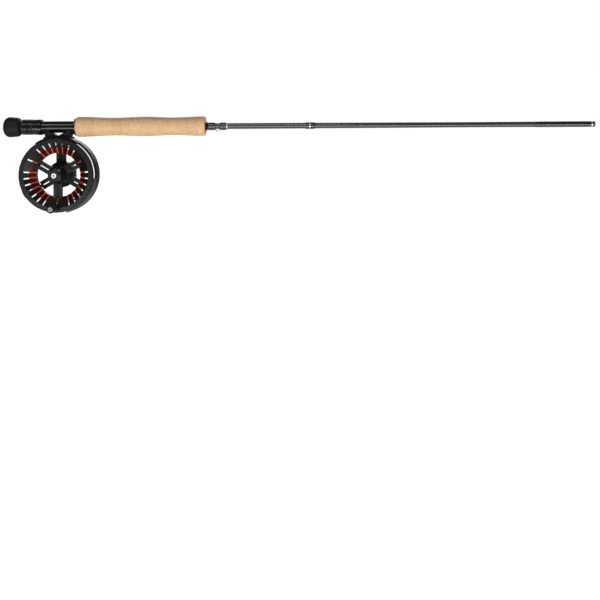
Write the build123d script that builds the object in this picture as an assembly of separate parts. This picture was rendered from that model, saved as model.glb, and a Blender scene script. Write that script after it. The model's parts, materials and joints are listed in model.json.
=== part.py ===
from build123d import *

import math
import os

# Butt section of a four-piece fly rod with its fly reel on the seat.
# Lengths are in millimetres. +X runs along the rod to the tip, +Z is up, and the reel hangs below with its
# axis along Y and its handle towards -Y. The origin is on the rod's axis, in the middle of the cork grip.

# ---- rod: stations are counted from the butt end --------------------------------------------------------
ROD_LENGTH = 806.0
BUTT_CAP_LENGTH = 22.9
BUTT_CAP_RADIUS = 13.85
BUTT_CAP_NECK_RADIUS = 8.6
NUT_TRAVEL = 2.2
NUT_STOP_GAP = 0.1
JAM_NUT_LENGTH = 7.9
LOCK_NUT_LENGTH = 5.9
NUT_RADIUS = 10.7
NUT_CHAMFER = 1.0
NUT_FLUTES = 10
NUT_FLUTE_RADIUS = 1.6
NUT_FLUTE_DEPTH = 0.55
THREAD_PITCH = 1.5
THREAD_DEPTH = 0.45
WASHER_LENGTH = 0.8
WASHER_RADIUS = 9.9
HOOD_LENGTH = 12.0
HOOD_REAR_RADIUS = 9.8
HOOD_SWELL_RADIUS = 10.6
HOOD_DROP = 0.5
HOOD_POCKET_DEPTH = 8.5
SEAT_RADIUS = 8.1
SEAT_WALL = 1.2
SEAT_CAP_OVERLAP = 12.0
SEAT_EXPOSED = 45.0
CORK_RING_PITCH = 12.7
CORK_RINGS = 14
CORK_END_RADIUS = 13.7
CORK_WAIST_RADIUS = 12.1
CORK_SWELL_RADIUS = 13.4
CORK_FRONT_RADIUS = 13.4
CORK_ROUND = 4.5
FRONT_HOOD_RADIUS = 11.8
FRONT_POCKET_DEPTH = 11.4
CHECK_LENGTH = 3.0
CHECK_RADIUS = 7.5
BLANK_BUTT_RADIUS = 4.75
BLANK_CORK_RADIUS = 4.2
BLANK_THIN_RADIUS = 3.72
BLANK_TIP_RADIUS = 4.0
BLANK_WALL = 0.9
BLANK_THIN_STATION = 640.0
SWELL_START_STATION = 660.0
SWELL_END_STATION = 780.0
FERRULE_RADIUS = 3.0
FERRULE_DEPTH = 45.0
KEEPER_WRAP_LENGTH = 10.4
KEEPER_GAP = 6.0
KEEPER_FRONT_WRAP_LENGTH = 9.0
KEEPER_WRAP_THICKNESS = 1.0
KEEPER_WIRE_RADIUS = 0.6
KEEPER_LOOP_RADIUS = 2.1
TRIM_LENGTH = 1.4
MID_WRAP_STATION = 410.5
MID_WRAP_LENGTH = 13.5
MID_WRAP_THICKNESS = 0.8
MID_TRIM_LENGTH = 1.6
FERRULE_WRAP_LENGTH = 76.0
FERRULE_WRAP_THICKNESS = 0.15
FERRULE_BAND_LENGTH = 2.0
FERRULE_BAND_BACK = 5.0
PLUG_HEAD_LENGTH = 5.0
PLUG_LENGTH = 15.0
ARBOR_LENGTH = 18.0

# ---- reel: radii from the reel's axis, and Y along it, with -Y towards the handle ----------------------
REEL_DROP = 65.3
FOOT_LENGTH = 58.0
FOOT_THICKNESS = 2.3
FOOT_TIP_THICKNESS = 1.3
FOOT_HALF_ANGLE = 42.0
PEDESTAL_LENGTH = 36.4
NOTCH_WIDTH = 15.0
NOTCH_DEPTH = 3.9
FOOT_PAD_DROP = 13.7
FOOT_SCREW_SPACING = 23.0
FOOT_SCREW_RADIUS = 1.5
FOOT_SCREW_HEAD_RADIUS = 2.85
FOOT_SCREW_HEAD = 1.6
FOOT_SCREW_SINK = 0.5
FOOT_SCREW_BITE = 2.2
FOOT_SCREW_SOCKET_RADIUS = 0.9
FOOT_SCREW_SOCKET_DEPTH = 0.8
CAGE_RADIUS = 52.6
CAGE_WALL = 3.0
CAGE_FRONT_Y = -11.5
CAGE_MIDDLE_Y = -5.0
CAGE_REAR_Y = 13.5
CAGE_START_ANGLE = -78.0
CAGE_END_ANGLE = 124.0
GUARD_START_ANGLE = -75.0
GUARD_END_ANGLE = -5.0
TOP_BAR_START_ANGLE = 58.0
GUARD_SCREW_ANGLES = (-25.0, -58.0)
GUARD_SCREW_RADIUS = 1.1
GUARD_SCREW_SHANK_RADIUS = 0.66
GUARD_SCREW_BITE = 4.0
ARM_FRONT_Y = 10.0
ARM_REAR_Y = 14.2
ARM_WIDTH = 12.0
ARM_SLOT = 1.7
ARM_NARROW = 4.0
ARM_STEP_RADIUS = 31.0
HUB_PLATE_RADIUS = 18.0
HUB_PLATE_REAR_Y = 15.4
PILLAR_HALF_ANGLE = 5.5
SPINDLE_RADIUS = 4.0
RIM_RADIUS = 50.3
FACE_Y = -18.0
RIM_DEPTH = 5.5
DISH_RADIUS = 44.0
ARBOR_INNER_RADIUS = 30.0
DISH_FLOOR_Y = -5.5
RED_EDGE_RADIUS = 38.0
SPOOL_WALL = 2.4
ARBOR_BAND_WALL = 1.6
ARBOR_REAR_Y = 3.0
SLOT_WIDTH = 1.8
SLOT_PITCH = 12.0
SLOTS_IN_GROUP = 7
SPOKE_ANGLES = (30.0, 150.0, 270.0)
GROUP_ANGLES = (90.0, 210.0, 330.0)
HANDLE_SLOT_END = 38.6
PAD_HALF_ANGLE = 17.0
PAD_DEPTH = 1.2
RIB_GROOVE_DEPTH = 1.4
TEARDROP_WIDTH = 5.2
TEARDROP_END_WALL = 2.2
TEARDROP_EDGE_WALL = 1.0
SPOKE_FRONT_Y = -7.6
SPOKE_REAR_Y = -3.4
REAR_FLANGE_RADIUS = 40.0
REAR_FLANGE_Y = 6.2
REAR_FLANGE_WALL = 1.6
REAR_RIB_HALF_ANGLE = 11.0
HUB_RADIUS = 12.4
HUB_NECK_RADIUS = 8.8
HUB_FRONT_Y = -20.0
HUB_REAR_Y = -1.5
BEARING_RADIUS = 6.0
BEARING_WIDTH = 4.0
CLUTCH_LENGTH = 7.0
CLUTCH_INNER_RADIUS = 5.2
CAP_RADIUS = 8.7
CAP_FRONT_Y = -26.6
BADGE_RADIUS = 3.2
BADGE_HOLE_RADIUS = 1.4
BADGE_HEIGHT = 0.35
HANDLE_RADIUS = 43.5
HANDLE_ANGLE = 270.0
HANDLE_LENGTH = 24.5
HANDLE_BASE_RADIUS = 5.9
HANDLE_WAIST_RADIUS = 4.5
HANDLE_END_RADIUS = 5.4
HANDLE_PIN_RADIUS = 2.0
HANDLE_SCREW_RADIUS = 3.2
HANDLE_SOCKET_RADIUS = 1.7
HANDLE_SOCKET_DEPTH = 1.1
HANDLE_BOSS_RADIUS = 4.2
WEIGHT_HALF_ANGLE = 13.0
DRAG_HOUSING_RADIUS = 14.5
DRAG_HOUSING_FRONT_Y = 0.0
DRAG_HOUSING_WALL = 1.5
DRAG_DISC_THICKNESS = 0.8
DRAG_PLATE_THICKNESS = 1.4
DRAG_STACK_GAP = 0.05
DRAG_KNOB_RADIUS = 17.8
DRAG_KNOB_FRONT_Y = 16.0
DRAG_KNOB_REAR_Y = 27.0
DRAG_KNOB_LOBES = 12
DRAG_KNOB_SCREW_RADIUS = 5.5
DRAG_KNOB_LOBE_RADIUS = 3.0
DRAG_KNOB_LOBE_DEPTH = 0.9
DRAG_KNOB_COLLAR = 2.2
KNOB_SCREW_SINK = 2.5
KNOB_SCREW_HEAD = 1.5

# ---- fits ----------------------------------------------------------------------------------------------
RUNNING = 0.05
GLUE = 0.02
AIR = 0.4

# ---- stations worked out from the lengths above --------------------------------------------------------
JAM_NUT_STATION = BUTT_CAP_LENGTH + NUT_TRAVEL + NUT_STOP_GAP
LOCK_NUT_STATION = JAM_NUT_STATION + JAM_NUT_LENGTH + RUNNING
WASHER_STATION = LOCK_NUT_STATION + LOCK_NUT_LENGTH + RUNNING
HOOD_STATION = WASHER_STATION + WASHER_LENGTH + RUNNING
HOOD_END_STATION = HOOD_STATION + HOOD_LENGTH
GRIP_STATION = HOOD_END_STATION + SEAT_EXPOSED
GRIP_LENGTH = CORK_RINGS * CORK_RING_PITCH
GRIP_END_STATION = GRIP_STATION + GRIP_LENGTH
ORIGIN_STATION = GRIP_STATION + GRIP_LENGTH / 2
SEAT_START_STATION = BUTT_CAP_LENGTH - SEAT_CAP_OVERLAP
SEAT_END_STATION = GRIP_STATION + CORK_RING_PITCH
BLANK_START_STATION = SEAT_START_STATION + PLUG_LENGTH - PLUG_HEAD_LENGTH + AIR
CHECK_END_STATION = GRIP_END_STATION + CHECK_LENGTH
KEEPER_STATION = CHECK_END_STATION + KEEPER_WRAP_LENGTH
KEEPER_FRONT_STATION = KEEPER_STATION + KEEPER_GAP
TRIM_STATION = KEEPER_FRONT_STATION + KEEPER_FRONT_WRAP_LENGTH
FERRULE_BAND_STATION = ROD_LENGTH - FERRULE_BAND_BACK
FERRULE_WRAP_STATION = FERRULE_BAND_STATION - FERRULE_WRAP_LENGTH
REEL_STATION = (HOOD_END_STATION + GRIP_STATION) / 2 - 0.2
REEL_PLACE = Pos(REEL_STATION - ORIGIN_STATION, 0, -REEL_DROP)
SEAT_INNER_RADIUS = SEAT_RADIUS - SEAT_WALL
CAGE_INNER_RADIUS = CAGE_RADIUS - CAGE_WALL
CONE_SLOPE = (FACE_Y - DISH_FLOOR_Y) / (DISH_RADIUS - ARBOR_INNER_RADIUS)
SPOKE_INNER_RADIUS = HUB_NECK_RADIUS + 0.6
ARBOR_BAND_RADIUS = ARBOR_INNER_RADIUS + ARBOR_BAND_WALL
HANDLE_BASE_Y = FACE_Y - 1.2
HANDLE_TIP_Y = HANDLE_BASE_Y - AIR - HANDLE_LENGTH
BOSS_REAR_Y = DISH_FLOOR_Y + CONE_SLOPE * (HANDLE_RADIUS - HANDLE_BOSS_RADIUS - ARBOR_INNER_RADIUS) + 0.6
SPOKE_SPREAD = 360 / len(SPOKE_ANGLES)
SPINDLE_REAR_Y = DRAG_KNOB_REAR_Y - KNOB_SCREW_SINK - 2.0
CLUTCH_REAR_Y = HUB_REAR_Y - 0.2


# ---- helpers -------------------------------------------------------------------------------------------
def along(station):
    """X of a station counted from the butt end."""
    return station - ORIGIN_STATION


def turned_on_rod(*points):
    """Solid turned about the rod's axis from (station, radius) points."""
    outline = Polyline(*[(along(x), r) for x, r in points], close=True)
    return revolve(make_face(outline), Axis.X)


def sleeve_on_rod(start, length, outer, inner):
    """Plain ring on the rod's axis."""
    end = start + length
    return turned_on_rod((start, inner), (end, inner), (end, outer), (start, outer))


def turned_on_reel(*points):
    """Solid turned about the reel's axis from (radius, y) points."""
    return revolve(make_face(Polyline(*points, close=True)), Axis.Y)


def ring_on_reel(outer, inner, front, rear):
    """Plain ring about the reel's axis between two Y faces."""
    return turned_on_reel((inner, front), (outer, front), (outer, rear), (inner, rear))


def at_angle(shape, angle):
    """Turns a shape made on the reel's +X side to an angle counted from +X towards +Z."""
    return Rot(0, -angle, 0) * shape


def radial_bar(inner, outer, width, front, rear):
    """Bar that points along +X from the reel's axis."""
    size = (outer - inner, rear - front, width)
    middle = ((inner + outer) / 2, (front + rear) / 2, 0)
    return Pos(*middle) * Box(*size)


def sector(radius, start, end, front, rear):
    """Pie slice about the reel's axis, from one angle to another, used to cut rings to length."""
    steps = max(2, math.ceil((end - start) / 30))
    reach = radius / math.cos(math.radians((end - start) / steps / 2))
    angles = [math.radians(start + (end - start) * i / steps) for i in range(steps + 1)]
    rim = [(reach * math.cos(a), reach * math.sin(a)) for a in angles]
    face = Plane.XZ * make_face(Polyline((0, 0), *rim, close=True))
    return Pos(0, front, 0) * extrude(face, amount=rear - front, dir=(0, 1, 0))


def axial_cylinder(radius, height, front, distance, angle):
    """Cylinder along Y whose front face is at front, standing off the reel's axis."""
    upright = Rot(90, 0, 0) * Cylinder(radius, height)
    return at_angle(Pos(distance, front + height / 2, 0) * upright, angle)


def write(name, shape, place=None):
    """Writes one node."""
    export_step(place * shape if place else shape, f"parts/{name}.step")


# ---- rod: blank and what is wound on it ----------------------------------------------------------------
def blank_stations():
    """(station, radius) along the outside of the blank."""
    return [
        (BLANK_START_STATION, BLANK_BUTT_RADIUS),
        (GRIP_END_STATION, BLANK_CORK_RADIUS),
        (BLANK_THIN_STATION, BLANK_THIN_RADIUS),
        (SWELL_START_STATION, BLANK_THIN_RADIUS),
        (SWELL_END_STATION, BLANK_TIP_RADIUS),
        (ROD_LENGTH, BLANK_TIP_RADIUS),
    ]


def blank_radius(station):
    """Radius of the blank at a station, straight between the given ones."""
    known = blank_stations()
    for (x0, r0), (x1, r1) in zip(known, known[1:]):
        if station <= x1:
            return r0 + (r1 - r0) * (station - x0) / (x1 - x0)
    return known[-1][1]


def blank_core(clearance):
    """Solid as thick as the blank plus a clearance, for boring what sits on the blank."""
    outside = [(x, r + clearance) for x, r in blank_stations()]
    return turned_on_rod((BLANK_START_STATION, 0), *outside, (ROD_LENGTH, 0))


def blank():
    """Carbon-fibre tube, tapered, with a straight ferrule socket bored into its tip end."""
    socket_floor = ROD_LENGTH - FERRULE_DEPTH
    bore = [
        (ROD_LENGTH, FERRULE_RADIUS),
        (socket_floor, FERRULE_RADIUS),
        (socket_floor, BLANK_THIN_RADIUS - BLANK_WALL),
        (GRIP_END_STATION, BLANK_CORK_RADIUS - BLANK_WALL),
        (BLANK_START_STATION, BLANK_BUTT_RADIUS - BLANK_WALL),
    ]
    return turned_on_rod(*blank_stations(), *bore)


def wound_sleeve(start, length, thickness, taper):
    """Thread wrap under varnish: a sleeve on the blank with tapered ends."""
    end = start + length
    full = blank_radius(start + length / 2) + thickness
    thin = thickness * 0.3
    body = turned_on_rod(
        (start, 0),
        (start, blank_radius(start) + thin),
        (start + taper, full),
        (end - taper, full),
        (end, blank_radius(end) + thin),
        (end, 0),
    )
    return body - blank_core(GLUE)


def keeper_profile_height():
    """Distance of the keeper wire's centre line from the rod's axis where it lies on the blank."""
    return blank_radius(KEEPER_STATION) + GLUE + KEEPER_WIRE_RADIUS


def keeper_wire():
    """The keeper's wire swept along its line, in the upright plane through the rod's axis."""
    line = -keeper_profile_height()
    middle = along((KEEPER_STATION + KEEPER_FRONT_STATION) / 2)
    foot = KEEPER_GAP / 2 + 3.6
    bend = KEEPER_WIRE_RADIUS * 1.6
    low = line - KEEPER_LOOP_RADIUS - 0.3
    reach = KEEPER_LOOP_RADIUS
    points = [
        (middle - foot, 0, line),
        (middle - reach, 0, line),
        (middle - reach, 0, low),
        (middle + reach, 0, low),
        (middle + reach, 0, line),
        (middle + foot, 0, line),
    ]
    path = FilletPolyline(*points, radius=[bend, KEEPER_LOOP_RADIUS * 0.9, KEEPER_LOOP_RADIUS * 0.9, bend])
    start = Plane(origin=points[0], z_dir=(1, 0, 0))
    return sweep(start * Circle(KEEPER_WIRE_RADIUS), path)


def keeper_wrap(start, length):
    """Thread wrap that binds one foot of the keeper to the blank."""
    return wound_sleeve(start, length, KEEPER_WRAP_THICKNESS, 1.2) - keeper_wire()


def trim_ring(start, length, proud):
    """Thin metallic thread band beside or over a wrap."""
    outer = blank_radius(start) + proud
    return sleeve_on_rod(start, length, outer, 0) - blank_core(GLUE)


def mid_wrap():
    """Wrap part-way up the blank, with a groove where its bright band lies."""
    wrap = wound_sleeve(MID_WRAP_STATION, MID_WRAP_LENGTH, MID_WRAP_THICKNESS, 2.6)
    return wrap - mid_trim_envelope(GLUE)


def mid_trim_envelope(clearance):
    """Space of the bright band in the middle of the mid wrap."""
    start = MID_WRAP_STATION + (MID_WRAP_LENGTH - MID_TRIM_LENGTH) / 2
    radius = blank_radius(start) + MID_WRAP_THICKNESS
    inner = radius - MID_WRAP_THICKNESS / 2
    return sleeve_on_rod(start - clearance, MID_TRIM_LENGTH + 2 * clearance, radius + 0.1, inner)


def mid_trim():
    """Bright thread band in the mid wrap's groove."""
    start = MID_WRAP_STATION + (MID_WRAP_LENGTH - MID_TRIM_LENGTH) / 2
    radius = blank_radius(start) + MID_WRAP_THICKNESS
    inner = radius - MID_WRAP_THICKNESS / 2
    return sleeve_on_rod(start, MID_TRIM_LENGTH, radius + 0.05, inner + GLUE)


def ferrule_wrap():
    """Thin reinforcing wrap over the ferrule swelling."""
    return wound_sleeve(FERRULE_WRAP_STATION, FERRULE_WRAP_LENGTH, FERRULE_WRAP_THICKNESS, 8.0)


# ---- rod: grip and seat --------------------------------------------------------------------------------
def grip_outline():
    """Full-wells outline: rounded rear, waist, palm swell, waist, flared front with a small round."""
    start = GRIP_STATION
    end = GRIP_END_STATION
    length = GRIP_LENGTH
    rear = Polyline((along(start), 0), (along(start), CORK_END_RADIUS - CORK_ROUND))
    round_rear = RadiusArc(
        (along(start), CORK_END_RADIUS - CORK_ROUND),
        (along(start + CORK_ROUND), CORK_END_RADIUS),
        CORK_ROUND,
    )
    top = Spline(
        (along(start + CORK_ROUND), CORK_END_RADIUS),
        (along(start + 0.31 * length), CORK_WAIST_RADIUS),
        (along(start + 0.53 * length), CORK_SWELL_RADIUS),
        (along(start + 0.75 * length), CORK_WAIST_RADIUS),
        (along(end - CORK_ROUND / 2), CORK_FRONT_RADIUS),
        tangents=[(1, 0), (1, 0.02)],
    )
    front = Polyline(
        (along(end - CORK_ROUND / 2), CORK_FRONT_RADIUS),
        (along(end), CORK_FRONT_RADIUS - CORK_ROUND / 2),
        (along(end), 0),
        (along(start), 0),
    )
    return make_face(Wire([*rear.edges(), *round_rear.edges(), *top.edges(), *front.edges()]))


def cork_rings():
    """Cork rings glued end to end and turned to one outline, bored for the front hood and the blank."""
    body = revolve(grip_outline(), Axis.X)
    body -= sleeve_on_rod(GRIP_STATION, CORK_RING_PITCH, FRONT_HOOD_RADIUS + GLUE, 0)
    body -= blank_core(GLUE)
    rings = []
    for i in range(CORK_RINGS):
        start = GRIP_STATION + i * CORK_RING_PITCH
        gap = GLUE if i else 0
        slice_box = sleeve_on_rod(start + gap, CORK_RING_PITCH - gap, 2 * CORK_END_RADIUS, 0)
        rings.extend((body & slice_box).solids())
    return Compound(children=rings)


def winding_check():
    """Collar that closes the front of the grip against the blank."""
    end = CHECK_END_STATION
    start = GRIP_END_STATION + GLUE
    small = blank_radius(end) + KEEPER_WRAP_THICKNESS
    body = turned_on_rod((start, 0), (start, CHECK_RADIUS), (end - 1, small + 0.6), (end, small), (end, 0))
    return body - blank_core(GLUE)


def seat_tube():
    """Aluminium seat tube with the screw thread's grooves under the nuts."""
    length = SEAT_END_STATION - SEAT_START_STATION
    tube = sleeve_on_rod(SEAT_START_STATION, length, SEAT_RADIUS, SEAT_INNER_RADIUS)
    half = THREAD_PITCH * 0.3
    turns = int((WASHER_STATION - BUTT_CAP_LENGTH) / THREAD_PITCH)
    for i in range(turns):
        middle = BUTT_CAP_LENGTH + (i + 0.5) * THREAD_PITCH
        tube -= turned_on_rod(
            (middle - half, SEAT_RADIUS + 0.01),
            (middle, SEAT_RADIUS - THREAD_DEPTH),
            (middle + half, SEAT_RADIUS + 0.01),
        )
    return tube


def seat_bushing(start):
    """Bushing that centres the blank in the seat tube."""
    return sleeve_on_rod(start, ARBOR_LENGTH, SEAT_INNER_RADIUS - GLUE, 0) - blank_core(GLUE)


def butt_plug():
    """Turned plug glued into the seat tube's end, which the fighting butt is bonded to."""
    head_end = SEAT_START_STATION - GLUE
    start = head_end - PLUG_HEAD_LENGTH
    shank_end = head_end + PLUG_LENGTH - PLUG_HEAD_LENGTH
    shank = SEAT_INNER_RADIUS - GLUE
    return turned_on_rod(
        (start, 0),
        (start, SEAT_RADIUS),
        (head_end, SEAT_RADIUS),
        (head_end, shank),
        (shank_end, shank),
        (shank_end, 0),
    )


def fighting_butt():
    """Moulded rubber butt: domed end, slight taper, rounded shoulder, bored for the plug and the tube."""
    end = BUTT_CAP_LENGTH
    dome_end = 8.2
    shoulder = end - 6.1
    flat = BUTT_CAP_RADIUS * 0.36
    shoulder_radius = BUTT_CAP_RADIUS - 0.7
    outline = Wire(
        [
            *Polyline((along(0), 0), (along(0), flat)).edges(),
            *EllipticalCenterArc(
                (along(dome_end), flat), dome_end, BUTT_CAP_RADIUS - flat, start_angle=90, arc_size=90
            ).edges(),
            *Polyline((along(dome_end), BUTT_CAP_RADIUS), (along(shoulder), shoulder_radius)).edges(),
            *EllipticalCenterArc(
                (along(shoulder), BUTT_CAP_NECK_RADIUS),
                BUTT_CAP_LENGTH - shoulder,
                shoulder_radius - BUTT_CAP_NECK_RADIUS,
                start_angle=0,
                arc_size=90,
            ).edges(),
            *Polyline((along(end), BUTT_CAP_NECK_RADIUS), (along(end), 0), (along(0), 0)).edges(),
        ]
    )
    body = revolve(make_face(outline), Axis.X)
    bore_start = SEAT_START_STATION - GLUE - PLUG_HEAD_LENGTH - GLUE
    return body - sleeve_on_rod(bore_start, BUTT_CAP_LENGTH - bore_start + 1, SEAT_RADIUS + GLUE, 0)


def ring_nut(start, length):
    """Round nut with lengthwise flutes and chamfered edges, running on the seat tube."""
    end = start + length
    inner = SEAT_RADIUS + RUNNING
    edge = NUT_RADIUS - NUT_CHAMFER
    nut = turned_on_rod(
        (start, inner),
        (start, edge),
        (start + NUT_CHAMFER, NUT_RADIUS),
        (end - NUT_CHAMFER * 0.5, NUT_RADIUS),
        (end, NUT_RADIUS - NUT_CHAMFER * 0.5),
        (end, inner),
    )
    offset = NUT_RADIUS + NUT_FLUTE_RADIUS - NUT_FLUTE_DEPTH
    cutter = Rot(0, 90, 0) * Cylinder(NUT_FLUTE_RADIUS, length * 2)
    for i in range(NUT_FLUTES):
        angle = 360 * i / NUT_FLUTES
        nut -= Rot(angle, 0, 0) * (Pos(along(start + length / 2), 0, offset) * cutter)
    return nut


def foot_wedge(angle, start, end):
    """Wedge below the rod's axis, so many degrees to each side, between two X places."""
    reach = 3 * SEAT_RADIUS
    side = reach * math.sin(math.radians(angle))
    drop = -reach * math.cos(math.radians(angle))
    face = Plane.YZ * make_face(Polyline((0, 0), (-side, drop), (side, drop), close=True))
    return Pos(start, 0, 0) * extrude(face, amount=end - start, dir=(1, 0, 0))


def toe_space(clearance):
    """Space of the foot's curved plate, from toe to toe, with a clearance all round except on the tube."""
    half = FOOT_LENGTH / 2 + clearance
    flat = PEDESTAL_LENGTH / 2
    near = SEAT_RADIUS + (GLUE if clearance else GLUE * 2)
    thick = SEAT_RADIUS + FOOT_THICKNESS + clearance
    tip = SEAT_RADIUS + FOOT_TIP_THICKNESS + clearance
    middle = REEL_STATION
    plate = turned_on_rod(
        (middle - half, near),
        (middle + half, near),
        (middle + half, tip),
        (middle + flat, thick),
        (middle - flat, thick),
        (middle - half, tip),
    )
    angle = FOOT_HALF_ANGLE + math.degrees(clearance / SEAT_RADIUS)
    return plate & foot_wedge(angle, along(middle) - FOOT_LENGTH, along(middle) + FOOT_LENGTH)


def sliding_hood():
    """Hood that the nuts push over the foot's rear toe: a ring that swells towards its mouth, deeper below."""
    start = HOOD_STATION
    end = HOOD_END_STATION
    swell = start + HOOD_LENGTH * 0.7
    shell = turned_on_rod(
        (start, 0),
        (start, HOOD_REAR_RADIUS - 0.4),
        (start + 0.4, HOOD_REAR_RADIUS),
        (swell, HOOD_SWELL_RADIUS),
        (end - 1.0, HOOD_SWELL_RADIUS - 0.1),
        (end, HOOD_SWELL_RADIUS - 0.7),
        (end, 0),
    )
    lower = Pos(0, 0, -HOOD_DROP) * shell
    hood = shell + lower
    flute = Rot(0, 90, 0) * Cylinder(1.0, HOOD_LENGTH * 0.62)
    for side in (-1, 1):
        for height in (3.6, -4.4):
            depth = math.sqrt(HOOD_SWELL_RADIUS**2 - height**2) + 0.35
            hood -= Pos(along(start + HOOD_LENGTH * 0.52), side * depth, height) * flute
    hood -= sleeve_on_rod(start - 1, HOOD_LENGTH + 2, SEAT_RADIUS + RUNNING, 0)
    mouth = sleeve_on_rod(end - HOOD_POCKET_DEPTH, HOOD_POCKET_DEPTH + 1, 2 * HOOD_SWELL_RADIUS, 0)
    return hood - (toe_space(0.12) & mouth)


def hood_washer():
    """Nylon washer between the lock nut and the hood."""
    return sleeve_on_rod(WASHER_STATION, WASHER_LENGTH, WASHER_RADIUS, SEAT_RADIUS + RUNNING)


def front_hood():
    """Sleeve inside the first cork ring, with the pocket that takes the foot's front toe."""
    sleeve = sleeve_on_rod(GRIP_STATION, CORK_RING_PITCH - GLUE, FRONT_HOOD_RADIUS, SEAT_RADIUS + GLUE)
    reach = SEAT_RADIUS + FOOT_THICKNESS + 0.3
    pocket = sleeve_on_rod(GRIP_STATION - 1, FRONT_POCKET_DEPTH + 1, reach, 0)
    start = along(GRIP_STATION)
    wedge = foot_wedge(FOOT_HALF_ANGLE + 3, start - 1, start + FRONT_POCKET_DEPTH)
    return sleeve - (pocket & wedge)


# ---- reel: foot and frame ------------------------------------------------------------------------------
def foot_screw_places():
    """X of each foot screw, counted from the reel's axis."""
    return (-FOOT_SCREW_SPACING / 2, FOOT_SCREW_SPACING / 2)


def reel_foot():
    """Foot: curved plate against the seat tube, on a pedestal with a V notch in its middle."""
    plate = toe_space(0)
    base = -FOOT_PAD_DROP + GLUE
    height = FOOT_PAD_DROP - GLUE
    width = 2 * (SEAT_RADIUS + FOOT_THICKNESS) * math.sin(math.radians(FOOT_HALF_ANGLE))
    middle = along(REEL_STATION)
    pedestal = Pos(middle, 0, base + height / 2) * Box(PEDESTAL_LENGTH, width - 1, height)
    pedestal = fillet(pedestal.edges().filter_by(Axis.Z), 3.0)
    foot = plate + pedestal
    tube = sleeve_on_rod(REEL_STATION - FOOT_LENGTH, 2 * FOOT_LENGTH, SEAT_RADIUS + 2 * GLUE, 0)
    foot -= tube
    apex = (middle, -SEAT_RADIUS - NOTCH_DEPTH)
    rise = NOTCH_DEPTH + SEAT_RADIUS
    spread = NOTCH_WIDTH / 2 * rise / NOTCH_DEPTH
    notch = Polyline(apex, (middle + spread, 0), (middle - spread, 0), close=True)
    notch = extrude(Plane.XZ * make_face(notch), amount=2 * SEAT_RADIUS, both=True)
    foot -= notch
    for x in foot_screw_places():
        foot -= Pos(middle + x, 0, base + 1.2) * Cylinder(FOOT_SCREW_RADIUS + GLUE, 2.6)
    return foot


def foot_screw_floor(x):
    """Height, from the reel's axis, of a foot screw's head in the curved inner face of the cage."""
    return math.sqrt(CAGE_INNER_RADIUS**2 - x**2) + FOOT_SCREW_SINK


def foot_screws():
    """Two countersunk screws that hold the foot, put in from inside the frame."""
    screws = []
    top = FOOT_SCREW_BITE - FOOT_PAD_DROP
    for x in foot_screw_places():
        seat = foot_screw_floor(x) - REEL_DROP
        length = top - seat
        shank = Pos(0, 0, length / 2) * Cylinder(FOOT_SCREW_RADIUS, length)
        head = Cone(FOOT_SCREW_HEAD_RADIUS, FOOT_SCREW_RADIUS, FOOT_SCREW_HEAD)
        screw = shank + Pos(0, 0, FOOT_SCREW_HEAD / 2) * head
        screw -= extrude(RegularPolygon(FOOT_SCREW_SOCKET_RADIUS, 6), amount=FOOT_SCREW_SOCKET_DEPTH)
        screws.extend((Pos(along(REEL_STATION) + x, 0, seat) * screw).solids())
    return Compound(children=screws)


def cage_band(front, rear, start, end):
    """Curved strip of the cage between two angles."""
    ring = ring_on_reel(CAGE_RADIUS, CAGE_INNER_RADIUS, front, rear)
    return ring & sector(CAGE_RADIUS + 1, start, end, front - 1, rear + 1)


def frame_arm(angle, slot_open):
    """Arm of the frame: two bars with a slot near the hub, and one narrow bar out to the cage."""
    arm = radial_bar(HUB_PLATE_RADIUS - 3, ARM_STEP_RADIUS, ARM_WIDTH, ARM_FRONT_Y, ARM_REAR_Y)
    arm += radial_bar(ARM_STEP_RADIUS - 1, CAGE_RADIUS - 1, ARM_NARROW, ARM_FRONT_Y, CAGE_REAR_Y)
    slot_rear = ARM_REAR_Y + 1 if slot_open else ARM_REAR_Y - 1.2
    arm -= radial_bar(HUB_PLATE_RADIUS + 1, ARM_STEP_RADIUS - 2, ARM_SLOT, ARM_FRONT_Y - 1, slot_rear)
    return at_angle(arm, angle)


def foot_arm():
    """Arm under the foot: two bars all the way, with a wider gap between them outside the spool's arbor."""
    width = ARM_WIDTH + 1.2
    arm = radial_bar(HUB_PLATE_RADIUS - 3, CAGE_RADIUS - 1, width, ARM_FRONT_Y, CAGE_REAR_Y)
    arm -= radial_bar(HUB_PLATE_RADIUS + 1, ARM_STEP_RADIUS - 2, 2.0, ARM_FRONT_Y - 1, ARM_REAR_Y - 1.2)
    gap_end = CAGE_INNER_RADIUS - 3
    arm -= radial_bar(ARM_STEP_RADIUS + 0.5, gap_end, 2 * ARM_SLOT, ARM_FRONT_Y - 1, ARM_REAR_Y + 1)
    return at_angle(arm, 90)


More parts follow.
